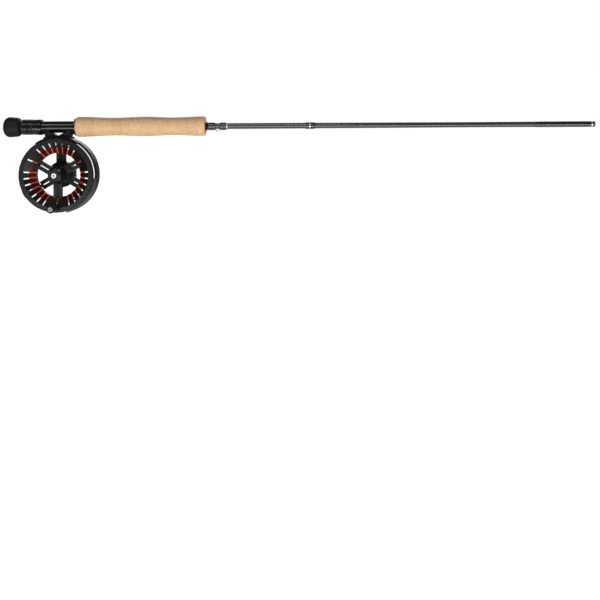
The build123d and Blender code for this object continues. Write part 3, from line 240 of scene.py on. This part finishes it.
@dataclass(frozen=True)
class RedPaintedGrooveHighlight(Lathed):
    """Turned ribs with grooves, whose floors are painted a paler red: a painted highlight for the light that the
    grooves' walls catch.

    A point's depth is how far it lies behind the ribs' cone, whose front goes back by cone_slope for each
    step outwards from cone_radius, where it stands at cone_y. The floor is where that depth is floor_depth,
    give or take band.
    """

    # Paler red painted on the grooves' floors as a painted highlight.
    groove_highlight_tone: str = "#bd6f62"
    groove_highlight_metallic: float = 0.15
    floor_depth: float = 1.4 * MM
    band: float = 0.15 * MM
    cone_radius: float = 30 * MM
    cone_y: float = -5.5 * MM
    cone_slope: float = -0.893

    def floors(self, tree: Any) -> Any:
        """Adds a mask that is one on the grooves' floors, where the painted highlight lies, and nought elsewhere.

        Args:
            tree: Node tree that takes the nodes.

        Returns:
            The mask's socket.
        """
        apart = add_node(tree, "SeparateXYZ", {}, {"Vector": self.from_centre(tree)})
        flat = add_node(tree, "CombineXYZ", {}, {"X": apart.outputs["X"], "Z": apart.outputs["Z"]})
        radius = add_node(tree, "VectorMath", {"operation": "LENGTH"}, {0: flat.outputs[0]})
        on_axis = self.cone_y - self.cone_slope * self.cone_radius
        line = {"operation": "MULTIPLY_ADD", 1: self.cone_slope, 2: on_axis}
        front = add_node(tree, "Math", line, {0: radius.outputs["Value"]})
        ends = {0: apart.outputs["Y"], 1: front.outputs[0]}
        depth = add_node(tree, "Math", {"operation": "SUBTRACT"}, ends)
        near = {"operation": "COMPARE", 1: self.floor_depth, 2: self.band}
        return add_node(tree, "Math", near, {0: depth.outputs[0]}).outputs[0]

    def overlay(self, tree: Any, shader: Any) -> None:
        """Lays the painted highlight's paler tone and its duller metal on the grooves' floors.

        Args:
            tree: Node tree that takes the nodes.
            shader: The material's shader.
        """
        red = shader.inputs["Base Color"].links[0].from_socket
        groove_highlight_mask = self.floors(tree)
        groove_highlight_metal = {"To Min": self.metallic, "To Max": self.groove_highlight_metallic}
        metal = add_node(tree, "MapRange", groove_highlight_metal, {"Value": groove_highlight_mask})
        tree.links.new(metal.outputs["Result"], shader.inputs["Metallic"])
        # Painted highlight: the grooves' floors take the paler red.
        shown = add_node(tree, "Mix", {"data_type": "RGBA", 7: linear(self.groove_highlight_tone)}, {0: groove_highlight_mask, 6: red})
        tree.links.new(shown.outputs[2], shader.inputs["Base Color"])


@dataclass(frozen=True)
class Banded(Finish):
    """Work laid round the rod: a relief of even bands along it, one to each pitch, bent a little by noise."""

    pitch: float = 0.45 * MM
    wander: float = 0.2

    def bands(self, tree: Any, place: Any) -> Any:
        """Adds the bands.

        Args:
            tree: Node tree that takes the node.
            place: Socket that gives the place.

        Returns:
            The socket, from nought to one.
        """
        settings = {
            "wave_type": "BANDS",
            "bands_direction": "X",
            "Scale": WAVE_LENGTH / self.pitch,
            "Distortion": self.wander,
        }
        return add_node(tree, "TexWave", settings, {"Vector": place}).outputs["Fac"]

    def height(self, tree: Any, place: Any) -> Any:
        """Gives each band a round back."""
        return self.bands(tree, place)


@dataclass(frozen=True)
class Wound(Banded):
    """Thread wound round the blank, one band to a turn."""

    def pattern(self, tree: Any, place: Any) -> Any:
        """Paints each turn lighter on its crown and darker in its groove: painted highlight and painted shade."""
        return self.bands(tree, place)


@dataclass(frozen=True)
class Cork(Finish):
    """Natural cork: warm mottle, dark pores and a tone of its own to each ring.

    A ring's number is its distance from the grip's start over the ring's length, and it picks a random
    brightness between the two of ring_shades. A pore is darkest within pore_core of its cell's middle and
    gone at pore_edge, both in pore sizes.
    """

    ring: float = 12.7 * MM
    start: float = 0.0
    ring_shades: tuple[float, float] = (0.95, 1.03)
    pore: float = 1.6 * MM
    pore_tone: str = "#7d5836"
    pore_core: float = 0.1
    pore_edge: float = 0.2
    pore_strength: float = 0.3

    def ring_toned(self, tree: Any, place: Any, mottle: Any) -> Any:
        """Gives each ring its own brightness.

        Args:
            tree: Node tree that takes the nodes.
            place: Socket that gives the place.
            mottle: Socket of the mottle's colour.

        Returns:
            The colour's socket.
        """
        apart = add_node(tree, "SeparateXYZ", {}, {"Vector": place})
        counted = {"operation": "MULTIPLY_ADD", 1: 1 / self.ring, 2: -self.start / self.ring}
        number = add_node(tree, "Math", counted, {0: apart.outputs["X"]})
        whole = add_node(tree, "Math", {"operation": "FLOOR"}, {0: number.outputs[0]})
        shade = add_node(tree, "TexWhiteNoise", {"noise_dimensions": "1D"}, {"W": whole.outputs[0]})
        dark, light = self.ring_shades
        spread = {"To Min": dark, "To Max": light}
        value = add_node(tree, "MapRange", spread, {"Value": shade.outputs["Value"]})
        links = {"Color": mottle, "Value": value.outputs["Result"]}
        return add_node(tree, "HueSaturation", {}, links).outputs["Color"]

    def dark_spots(self, tree: Any, place: Any) -> Any:
        """Adds the pores to the pits that the mesh carries.

        Args:
            tree: Node tree that takes the nodes.
            place: Socket that gives the place.

        Returns:
            The cover's socket, from nought to one.
        """
        cells = {"Scale": 1 / self.pore, "Randomness": 1.0}
        speck = add_node(tree, "TexVoronoi", cells, {"Vector": place})
        limits = {
            "From Min": self.pore_core,
            "From Max": self.pore_edge,
            "To Min": self.pore_strength,
            "To Max": 0.0,
        }
        specks = add_node(tree, "MapRange", limits, {"Value": speck.outputs["Distance"]})
        pit = add_node(tree, "Attribute", {"attribute_name": PIT_LAYER}, {})
        cover = {"operation": "ADD", "use_clamp": True}
        links = {0: pit.outputs["Fac"], 1: specks.outputs["Result"]}
        return add_node(tree, "Math", cover, links).outputs[0]

    def overlay(self, tree: Any, shader: Any) -> None:
        """Lays each ring's own tone, and then the pores and pits, over the mottle.

        Args:
            tree: Node tree that takes the nodes.
            shader: The material's shader.
        """
        mottle = shader.inputs["Base Color"].links[0].from_socket
        place = self.place(tree)
        links = {0: self.dark_spots(tree, place), 6: self.ring_toned(tree, place, mottle)}
        shown = add_node(tree, "Mix", {"data_type": "RGBA", 7: linear(self.pore_tone)}, links)
        tree.links.new(shown.outputs[2], shader.inputs["Base Color"])


@dataclass(frozen=True)
class Woven(Finish):
    """Carbon cloth: squares of crossing tows, one tone to each way that they run."""

    tow: float = 1.5 * MM

    def pattern(self, tree: Any, place: Any) -> Any:
        return add_node(tree, "TexChecker", {"Scale": 1 / self.tow}, {"Vector": place}).outputs["Fac"]


@dataclass(frozen=True)
class Rolled(Banded):
    """Carbon blank: the varnish keeps faint marks of the tape that bound it in the oven."""

    pitch: float = 2.2 * MM
    wander: float = 1.2


@dataclass(frozen=True)
class Backdrop(Finish):
    """Pale paper whose glow only the camera sees, so that it looks white and lights nothing."""

    def overlay(self, tree: Any, shader: Any) -> None:
        """Makes the paper glow for the camera's own rays only."""
        shader.inputs["Emission Color"].default_value = linear("#ffffff")
        seen = add_node(tree, "LightPath", {}, {}).outputs["Is Camera Ray"]
        tree.links.new(seen, shader.inputs["Emission Strength"])


REEL_CENTRE = tuple(
    next(j["pos_m"] for j in frame["record"]["behaviour"]["joints"] if j["name"] == "spool_spin")
)

# Carbon fibre under satin varnish: dark grey, with a soft lengthwise highlight and faint tape marks.
BLANK_FINISH = Rolled(
    "satin_varnished_carbon", "#232321", "#2d2c29", 0.3, coat=0.8, coat_roughness=0.12, relief=0.002 * MM
)
# Nylon thread under gloss epoxy: black, wet-looking, with the thread just felt, each turn painted lighter on its
# crown and darker in its groove as painted highlight and shade. Drawn twice its width.
WRAP_FINISH = Wound(
    "varnished_black_thread", "#070707", "#141414", 0.3, coat=1.0, coat_roughness=0.04, relief=0.012 * MM
)
# Metallised polyester thread under varnish: bright, broken by the turns, each painted lighter on its crown and
# darker in its groove as painted highlight and shade. Thread drawn twice its width.
TRIM_FINISH = Wound(
    "metallic_thread", "#6f6f6d", "#b4b4b1", 0.25, metallic=1.0, coat=0.8, relief=0.03 * MM, pitch=0.4 * MM
)
# Bead-blasted aluminium anodised black: dark, with a soft broad sheen. Grain drawn twice its size.
FRAME_FINISH = Finish(
    "blasted_black_anodise", "#0b0c0b", "#161614", 0.38, ior=1.35, grain=0.25 * MM, relief=0.012 * MM
)
# Bead-blasted aluminium anodised black, painted a step lighter than the cage that it is screwed to as a
# painted highlight for the light that it catches. Grain drawn twice its size.
GUARD_PAINTED_LIGHT_FINISH = Finish(
    "blasted_black_anodise_painted_lighter", "#2c2c2a", "#3b3b38", 0.4, grain=0.25 * MM, relief=0.012 * MM
)
# Turned aluminium anodised black: a darker tone and a sharper sheen than blasted, with turning rings.
TURNED_FINISH = Lathed(
    "turned_black_anodise",
    "#090a09",
    "#121210",
    0.33,
    ior=1.45,
    relief=0.004 * MM,
    centre=REEL_CENTRE,
    feed=0.7 * MM,
)
# Turned aluminium anodised black on the rod's seat: glossy, with lengthwise highlights.
SEAT_FINISH = Lathed(
    "turned_black_seat", "#070807", "#101010", 0.2, ior=1.42, relief=0.003 * MM, axis=Turned.ROD
)
# Turned aluminium anodised red: the dye lies in a clear layer over metal, so it glows where light meets it,
# and the grooves' floors are painted a paler, duller red as a painted highlight for their lit walls.
RED_FINISH = RedPaintedGrooveHighlight(
    "turned_red_anodise",
    "#5f0c07",
    "#7d170d",
    0.3,
    metallic=0.85,
    relief=0.005 * MM,
    centre=REEL_CENTRE,
    feed=0.6 * MM,
)
# Stainless steel, turned and polished: bright, with a thin grain, drawn coarser than real so that it shows.
STEEL_FINISH = Finish(
    "polished_stainless",
    "#b9bab8",
    "#d2d2cf",
    0.22,
    metallic=1.0,
    grain=0.2 * MM,
    relief=0.004 * MM,
    stretch=(1, 6, 1),
)
# Steel blacked in a hot salt bath: dark, with a little of the metal's shine.
BLACKED_FINISH = Finish(
    "blacked_steel", "#2a2a29", "#3a3a38", 0.3, metallic=1.0, grain=0.2 * MM, relief=0.004 * MM
)
# Moulded rubber: matt, near black, with the mould's blasted grain. Grain drawn three times its size.
RUBBER_FINISH = Finish(
    "moulded_rubber", "#0b0b0b", "#151514", 0.6, ior=1.3, grain=0.35 * MM, relief=0.03 * MM, patch=9 * MM
)
# Moulded nylon: dark, waxy, with a soft grain.
NYLON_FINISH = Finish(
    "moulded_nylon", "#1b1b1a", "#262625", 0.5, ior=1.53, grain=0.4 * MM, relief=0.015 * MM
)
# Stove enamel in a turned groove: white and smooth with a slight orange peel.
ENAMEL_FINISH = Finish(
    "white_enamel", "#e4e4df", "#f2f2ee", 0.18, coat=0.6, grain=1.0 * MM, relief=0.006 * MM
)
# Turned brass: yellow, with rings.
BRASS_FINISH = Lathed(
    "turned_brass", "#a9853f", "#c7a257", 0.28, metallic=1.0, relief=0.006 * MM, centre=REEL_CENTRE
)
# Carbon cloth pressed in resin: dark squares of tows. Tows drawn at their size.
DISC_FINISH = Woven("pressed_carbon_cloth", "#101010", "#242424", 0.4, grain=0.4 * MM)
# Backdrop paper: white and matt, with a soft fibre grain.
PAPER_FINISH = Backdrop("pale_paper", "#f4f4f2", "#fafaf8", 0.85, patch=0.4, grain=4 * MM)


# ---- surfaces ------------------------------------------------------------------------------------------
def ring_angles(turns: int) -> np.ndarray:
    """Gives the angles of a ring's points, evenly over a full circle."""
    return np.linspace(0, 2 * math.pi, turns, endpoint=False)


def angle_from(angle: np.ndarray, middle: float) -> np.ndarray:
    """Gives each angle as measured from a middle one, within half a turn either way."""
    return (angle - middle + math.pi) % (2 * math.pi) - math.pi


def grid_faces(rows: int, columns: int) -> np.ndarray:
    """Four-cornered faces of a grid that closes on itself both ways.

    Args:
        rows: Points along the profile.
        columns: Points round each ring.

    Returns:
        An array of vertex numbers, four to a face.
    """
    row, column = np.meshgrid(np.arange(rows), np.arange(columns), indexing="ij")
    after, beside = (row + 1) % rows, (column + 1) % columns
    near, far = row * columns, after * columns
    return np.stack([near + column, far + column, far + beside, near + beside], axis=-1).reshape(-1, 4)


def turned(profile: np.ndarray, turns: int, lift: np.ndarray) -> np.ndarray:
    """Carries a closed profile round the rod's axis: the place along the rod stays, the radius turns.

    Args:
        profile: Rows of place along the rod and radius, in metres.
        turns: Points round each ring.
        lift: Added to the radius, profile rows by ring points.

    Returns:
        A grid of places, profile rows by ring points.
    """
    angle = ring_angles(turns)
    radius = profile[:, 1:2] + lift
    along = profile[:, 0:1] + np.zeros((1, turns))
    return np.stack([along, radius * np.cos(angle), radius * np.sin(angle)], axis=-1)


def surface(name: str, points: np.ndarray, faces: np.ndarray, finish: Finish, sharp: float = 35.0) -> Any:
    """Makes a mesh object from arrays, shaded smooth up to an angle.

    Args:
        name: The piece's name.
        points: Vertex places in metres, one row each.
        faces: Vertex numbers, one row to a face.
        finish: Its finish.
        sharp: Angle in degrees past which an edge stays sharp.

    Returns:
        The object, linked to the scene.
    """
    mesh = bpy.data.meshes.new(name)
    mesh.from_pydata(points.reshape(-1, 3).tolist(), [], faces.tolist())
    mesh.validate()
    mesh.shade_smooth()
    mesh.set_sharp_from_angle(angle=math.radians(sharp))
    mesh.materials.append(finish.material())
    piece = bpy.data.objects.new(name, mesh)
    bpy.context.scene.collection.objects.link(piece)
    LOG.info("%s made, %d faces", name, len(faces))
    return piece


# ---- studio --------------------------------------------------------------------------------------------
@dataclass(frozen=True)
class SoftBox:
    """A rectangular light, aimed at a point. Its power is in watts."""

    name: str
    place: tuple[float, float, float]
    target: tuple[float, float, float]
    size: tuple[float, float]
    power: float

    def hang(self) -> None:
        """Hangs the light and turns it towards its target."""
        data = bpy.data.lights.new(self.name, "AREA")
        data.shape = "RECTANGLE"
        data.size, data.size_y = self.size
        data.energy = self.power
        box = bpy.data.objects.new(self.name, data)
        box.location = self.place
        aim = Vector(self.target) - Vector(self.place)
        box.rotation_euler = aim.to_track_quat("-Z", "Y").to_euler()
        bpy.context.scene.collection.objects.link(box)
        LOG.info("%s hung", self.name)


@dataclass
class Studio:
    """Pale floor, soft light and the camera. Lengths are in metres and roll in degrees.

    The camera looks at aim_x along the rod from distance away and sees across at the rod. The surround
    lights the piece at its fill strength and shows the camera its seen strength.
    """

    distance: float = 1.2
    across: float = 0.8197
    aim_x: float = 0.2178
    rod_above_middle: float = 0.2907
    roll: float = -0.33
    sensor: float = 36.0
    floor_drop: float = 0.42
    floor_half: float = 60.0
    fill: float = 0.14
    seen: float = 1.0
    boxes: tuple[SoftBox, ...] = (
        SoftBox("key", (-0.3, -1.3, 1.2), (-0.05, 0.0, -0.03), (1.4, 0.5), 10.5),
        SoftBox("low_front", (0.1, -0.75, -0.4), (0.05, 0.0, -0.01), (2.0, 0.16), 9.0),
        SoftBox("back", (0.3, 1.3, 0.8), (0.1, 0.0, 0.0), (2.0, 0.9), 15.0),
    )

    def camera(self) -> None:
        """Stands the camera level with the rod and shifts its view down, so the rod lies high in it."""
        data = bpy.data.cameras.new("camera")
        data.sensor_width = self.sensor
        data.lens = self.sensor * self.distance / self.across
        data.shift_y = -self.rod_above_middle
        data.dof.use_dof = False
        eye = bpy.data.objects.new("camera", data)
        rolled = Matrix.Rotation(math.radians(self.roll), 4, "Z")
        facing = Matrix.Rotation(math.pi / 2, 4, "X") @ rolled
        eye.matrix_world = Matrix.Translation((self.aim_x, -self.distance, 0)) @ facing
        bpy.context.scene.collection.objects.link(eye)
        bpy.context.scene.camera = eye

    def floor(self) -> None:
        """Lays a large matt pale floor well under the reel."""
        half, low = self.floor_half, CAD_BOX[0].z - self.floor_drop
        corners = np.array([(-half, -half, low), (half, -half, low), (half, half, low), (-half, half, low)])
        surface("studio_floor", corners, np.array([[0, 1, 2, 3]]), PAPER_FINISH)

    def surround(self) -> None:
        """Sets a white surround that lights softly and looks bright."""
        world = bpy.data.worlds.new("surround")
        world.use_nodes = True
        tree = world.node_tree
        dim = tree.nodes["Background"]
        dim.inputs["Color"].default_value = linear("#ffffff")
        dim.inputs["Strength"].default_value = self.fill
        seen = add_node(tree, "Background", {"Color": linear("#ffffff"), "Strength": self.seen}, {})
        path = add_node(tree, "LightPath", {}, {})
        links = {0: path.outputs["Is Camera Ray"], 1: dim.outputs[0], 2: seen.outputs[0]}
        both = add_node(tree, "MixShader", {}, links)
        tree.links.new(both.outputs[0], tree.nodes["World Output"].inputs["Surface"])
        bpy.context.scene.world = world
        bpy.context.scene.view_settings.view_transform = "Standard"

    def build(self) -> None:
        """Builds all of it."""
        self.floor()
        for box in self.boxes:
            box.hang()
        self.surround()
        self.camera()
        LOG.info("studio built")


# ---- sub-assemblies that keep their CAD solids ---------------------------------------------------------
class SubAssembly:
    """Pieces whose CAD solids are kept and only take their finishes."""

    def finishes(self) -> dict[str, Finish]:
        """Gives each node its finish."""
        return {}

    def build(self) -> None:
        """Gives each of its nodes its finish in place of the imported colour."""
        for node, finish in self.finishes().items():
            mesh = frame["nodes"][node].data
            mesh.materials.clear()
            mesh.materials.append(finish.material())
            LOG.info("%s dressed in %s", node, finish.name)


@dataclass
class Blank(SubAssembly):
    """The rod's tapered tube."""

    tube: Finish = BLANK_FINISH

    def finishes(self) -> dict[str, Finish]:
        """Varnished carbon."""
        return {"blank": self.tube}


@dataclass
class FightingButt(SubAssembly):
    """Butt cap and the plug that holds it in the seat."""

    cap: Finish = RUBBER_FINISH
    plug: Finish = SEAT_FINISH

    def finishes(self) -> dict[str, Finish]:
        """Rubber on a metal plug."""
        return {"fighting_butt": self.cap, "butt_plug": self.plug}


@dataclass
class ReelSeat(SubAssembly):
    """Seat tube with its bushings, both nuts and the two hoods that hold the reel's foot."""

    metal: Finish = SEAT_FINISH
    plastic: Finish = NYLON_FINISH

    def finishes(self) -> dict[str, Finish]:
        """Glossy black metal, with nylon bushings and washer."""
        return {
            "seat_tube": self.metal,
            "seat_bushing_rear": self.plastic,
            "seat_bushing_front": self.plastic,
            "jam_nut": self.metal,
            "lock_nut": self.metal,
            "hood_washer": self.plastic,
            "sliding_hood": self.metal,
            "front_hood": self.metal,
        }


@dataclass
class GripFittings(SubAssembly):
    """Winding check in front of the cork and the hook keeper."""

    check: Finish = SEAT_FINISH
    wire: Finish = STEEL_FINISH

    def finishes(self) -> dict[str, Finish]:
        """Black check and bright wire."""
        return {"winding_check": self.check, "hook_keeper": self.wire}


@dataclass
class ReelFrame(SubAssembly):
    """Foot, cage and line guard, with their screws and the spindle."""

    metal: Finish = FRAME_FINISH
    # The guard's lighter tone is a painted highlight for the light that it catches.
    guard: Finish = GUARD_PAINTED_LIGHT_FINISH
    steel: Finish = STEEL_FINISH
    blacked: Finish = BLACKED_FINISH

    def finishes(self) -> dict[str, Finish]:
        """Blasted black, with the guard painted a step lighter as a painted highlight, on blacked screws."""
        return {
            "reel_foot": self.metal,
            "foot_screws": self.steel,
            "reel_frame": self.metal,
            "line_guard": self.guard,
            "guard_screws": self.blacked,
            "spindle": self.steel,
        }


@dataclass
class Drag(SubAssembly):
    """Disc drag in its housing, and the knob that loads it."""

    metal: Finish = TURNED_FINISH
    seal: Finish = RUBBER_FINISH
    steel: Finish = STEEL_FINISH
    cloth: Finish = DISC_FINISH

    def finishes(self) -> dict[str, Finish]:
        """Black outside, with steel and carbon cloth inside."""
        return {
            "drag_housing": self.metal,
            "drag_seal": self.seal,
            "drag_sleeve": self.steel,
            "drag_discs": self.cloth,
            "drag_plates": self.steel,
            "drag_spring": self.steel,
            "drag_knob": self.metal,
            "knob_screw": self.steel,
        }


@dataclass
class Spool(SubAssembly):
    """Spool with its red arbor, rear flange, bearings, clutch and cap."""

    metal: Finish = TURNED_FINISH
    arbor: Finish = RED_FINISH
    steel: Finish = STEEL_FINISH
    badge: Finish = ENAMEL_FINISH

    def finishes(self) -> dict[str, Finish]:
        """Black flanges about the red arbor, with steel at the hub."""
        return {
            "spool": self.metal,
            "spool_arbor": self.arbor,
            "rear_flange": self.metal,
            "bearing_front": self.steel,
            "bearing_rear": self.steel,
            "one_way_clutch": self.steel,
            "hub_cap": self.metal,
            "cap_badge": self.badge,
        }


@dataclass
class Handle(SubAssembly):
    """Knob on its pin, and the weight that balances it."""

    steel: Finish = STEEL_FINISH
    knob: Finish = RUBBER_FINISH
    weight: Finish = BRASS_FINISH

    def finishes(self) -> dict[str, Finish]:
        """Black knob on steel, with a brass weight."""
        return {
            "handle_spindle": self.steel,
            "handle_knob": self.knob,
            "handle_screw": self.steel,
            "counterweight": self.weight,
        }


# ---- sub-assemblies that are rebuilt --------------------------------------------------------------------
@dataclass
class CorkGrip:
    """Full-wells grip of cork rings, turned to one outline and sanded.

    The outline's shares of the grip's length and its radii are those of the rear, the first waist, the
    swell, the second waist and the flare. Pit sizes are the least and the most, in millimetres.
    """

    ring: float = 12.7 * MM
    step: float = 0.5 * MM
    turns: int = 190
    joint_depth: float = 0.05 * MM
    joint_width: float = 0.22 * MM
    joint_darkness: float = 0.35
    seed: int = 11
    pits: int = 430
    pit_depth: float = 0.22 * MM
    pit_darkness: float = 0.55
    pit_widths_mm: tuple[float, float] = (0.25, 0.5)
    pit_lengths_mm: tuple[float, float] = (0.3, 1.3)
    pit_strengths: tuple[float, float] = (0.35, 1.0)
    pit_reach: float = 3
    rear_round: float = 4.5 * MM
    rear_points: int = 10
    front_round: float = 2.25 * MM
    front_points: int = 6
    hood_bore: float = 11.82 * MM
    blank_bore: float = 4.25 * MM
    bore_step: float = 0.01 * MM
    shares: tuple[float, ...] = (0.025, 0.31, 0.53, 0.75, 0.987)
    radii: tuple[float, ...] = (13.68 * MM, 12.1 * MM, 13.4 * MM, 12.1 * MM, 13.4 * MM)
    tones: tuple[str, str] = ("#c69c70", "#d9b68c")
    roughness: float = 0.72

    def radius_at(self, share: np.ndarray) -> np.ndarray:
        """Joins the rear, both waists, the swell and the flare, each to the next by half a cosine wave.

        Args:
            share: Shares of the grip's length, nought at the rear.

        Returns:
            Radii in metres.
        """
        shares, radii = np.array(self.shares), np.array(self.radii)
        held = np.clip(share, shares[0], shares[-1])
        index = np.clip(np.searchsorted(shares, held) - 1, 0, len(shares) - 2)
        low, high = shares[index], shares[index + 1]
        blend = (1 - np.cos(math.pi * (held - low) / (high - low))) / 2
        return radii[index] + (radii[index + 1] - radii[index]) * blend

    def profile(self, start: float, end: float) -> tuple[np.ndarray, int]:
        """Rear round, outline, front round, front face and the stepped bore, as one closed line.

        Args:
            start: Rear end along the rod.
            end: Front end along the rod.

        Returns:
            Rows of place and radius, and how many of them are outside.
        """
        length = end - start
        back = self.rear_round
        first = math.asin((self.hood_bore - self.radii[0] + back) / back)
        t = np.linspace(first, math.pi / 2, self.rear_points)
        rear = np.stack([start + back * (1 - np.cos(t)), self.radii[0] - back + back * np.sin(t)], axis=1)
        x = np.arange(start + back + self.step, end - self.front_round, self.step)
        middle = np.stack([x, self.radius_at((x - start) / length)], axis=1)
        t = np.linspace(0, math.pi / 2, self.front_points)
        edge, last = self.front_round, self.radii[-1]
        front = np.stack([end - edge + edge * np.sin(t), last - edge + edge * np.cos(t)], axis=1)
        outside = np.concatenate([rear, middle, front])
        bore_end = start + self.ring
        inside = [
            (end, self.blank_bore),
            (bore_end, self.blank_bore),
            (bore_end, self.hood_bore),
            (rear[0, 0], self.hood_bore - self.bore_step),
        ]
        return np.concatenate([outside, np.array(inside)]), len(outside)

    def pitting(self, profile: np.ndarray, outside: int, rng: np.random.Generator) -> np.ndarray:
        """Depth of the pits, from nought to one: each a smooth bell, wider round the grip than along it.

        Args:
            profile: Rows of place and radius.
            outside: How many rows are outside.
            rng: Source of the pits' places and sizes.

        Returns:
            A grid of depths, profile rows by ring points.
        """
        angle = ring_angles(self.turns)
        depth = np.zeros((len(profile), self.turns))
        x = profile[:outside, 0]
        for _ in range(self.pits):
            place, turn = rng.uniform(x[0], x[-1]), rng.uniform(0, 2 * math.pi)
            wide, long = rng.uniform(*self.pit_widths_mm) * MM, rng.uniform(*self.pit_lengths_mm) * MM
            strength = rng.uniform(*self.pit_strengths)
            rows = np.nonzero(np.abs(x - place) < self.pit_reach * wide)[0]
            across = ((x[rows] - place) / wide)[:, None] ** 2
            around = (angle_from(angle, turn) * self.radii[1] / long)[None, :] ** 2
            depth[rows] = np.maximum(depth[rows], strength * np.exp(-across - around))
        return depth

    def build(self) -> None:
        """Builds the grip and puts it in place of the plain rings."""
        low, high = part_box("cork_rings")
        rng = np.random.default_rng(self.seed)
        profile, outside = self.profile(low.x, high.x)
        pits = self.pitting(profile, outside, rng)
        from_joint = (profile[:outside, 0] - low.x + self.ring / 2) % self.ring - self.ring / 2
        at_joint = np.zeros_like(pits)
        at_joint[:outside] = np.exp(-((from_joint / self.joint_width) ** 2))[:, None]
        lift = -self.pit_depth * pits - self.joint_depth * at_joint
        finish = Cork(
            "sanded_cork",
            *self.tones,
            self.roughness,
            ring=self.ring,
            start=low.x,
            patch=4 * MM,
            relief=0.03 * MM,
        )
        faces = grid_faces(len(profile), self.turns)
        grip = surface("cork_grip", turned(profile, self.turns, lift), faces, finish)
        darkness = np.clip(pits * self.pit_darkness + at_joint * self.joint_darkness, 0, 1)
        layer = grip.data.attributes.new(PIT_LAYER, "FLOAT", "POINT")
        layer.data.foreach_set("value", darkness.ravel())
        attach(grip, "rod")
        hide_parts("cork_rings")


@dataclass
class Winding:
    """Thread wound over the blank and varnished: a sleeve with sloped ends and a helical thread just felt.

    The radius is the blank's, plus the wrap's height eased in at both ends, plus the thread's rounded
    crest, which climbs one thread along the rod for each turn, plus a hump where a keeper's foot lies under
    the wrap. The ease is the root of the distance from the end over the slope, and lip is the share of the
    height that stands at the very end.
    """

    node: str
    slot: str
    finish: Finish
    slope: float
    thread: float = 0.45 * MM
    crest: float = 0.025 * MM
    hump: float = 0.0
    hump_spread: float = 0.3
    foot_side: float = 1.5 * math.pi
    lip: float = 0.25
    bore_gap: float = 0.01 * MM
    turns: int = 72
    samples: int = 5
    fewest_rows: int = 6
    sharp: float = 60.0

    def build(self) -> None:
        """Builds the winding and puts it in place of the plain sleeve."""
        low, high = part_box(self.node)
        outer = (high.y - low.y) / 2
        inner = blank_radius((low.x + high.x) / 2) + self.bore_gap
        rows = max(self.fewest_rows, int((high.x - low.x) / self.thread * self.samples))
        x = np.linspace(low.x, high.x, rows)
        eased = np.clip(np.minimum(x - low.x, high.x - x) / self.slope, 0, 1) ** 0.5
        radius = inner + (outer - inner - self.crest) * (self.lip + (1 - self.lip) * eased)
        profile = np.concatenate([np.stack([x, radius], axis=1), [[high.x, inner], [low.x, inner]]])
        angle = ring_angles(self.turns)
        phase = x[:, None] / self.thread - angle[None, :] / (2 * math.pi)
        bump = np.exp(-((angle_from(angle, self.foot_side) / self.hump_spread) ** 2))[None, :]
        lift = np.zeros((rows + 2, self.turns))
        lift[:rows] = self.crest * np.abs(np.cos(math.pi * phase)) * eased[:, None]
        lift[:rows] += self.hump * bump * eased[:, None]
        points = turned(profile, self.turns, lift)
        faces = grid_faces(rows + 2, self.turns)
        piece = surface(self.node + "_threads", points, faces, self.finish, self.sharp)
        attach(piece, "rod")
        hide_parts(self.node)


# The blank's radius in millimetres at places along the rod, joined by straight lines.
BLANK_PLACES = (-0.175, 0.0889, 0.454, 0.474, 0.594, 0.62)
BLANK_RADII_MM = (4.75, 4.2, 3.72, 3.72, 4.0, 4.0)


def blank_radius(place: float) -> float:
    """Gives the blank's radius at a place along the rod, in metres."""
    return float(np.interp(place, BLANK_PLACES, BLANK_RADII_MM)) * MM


def trim_winding(node: str) -> Winding:
    """Gives a narrow band of metallic thread."""
    return Winding(node, "metallic_thread", TRIM_FINISH, 0.3 * MM, thread=0.35 * MM)


WINDINGS: tuple[Winding, ...] = (
    Winding("keeper_wrap_rear", "thread_wrap", WRAP_FINISH, 1.6 * MM, hump=0.45 * MM),
    Winding("keeper_wrap_front", "thread_wrap", WRAP_FINISH, 1.6 * MM, hump=0.45 * MM),
    trim_winding("keeper_trim"),
    Winding("mid_wrap", "thread_wrap", WRAP_FINISH, 3.0 * MM),
    trim_winding("mid_trim"),
    Winding("ferrule_wrap", "thread_wrap", WRAP_FINISH, 8.0 * MM, crest=0.015 * MM),
    trim_winding("ferrule_band"),
)


def main() -> None:
    """Builds and dresses the piece, one sub-assembly after another, and reports each."""
    logging.basicConfig(level=logging.INFO, format="%(message)s")
    rod = (Blank(), FightingButt(), ReelSeat(), GripFittings())
    reel = (ReelFrame(), Drag(), Spool(), Handle())
    for part in (Studio(), *rod, *reel, CorkGrip(), *WINDINGS):
        part.build()


if __name__ == "__main__":
    main()
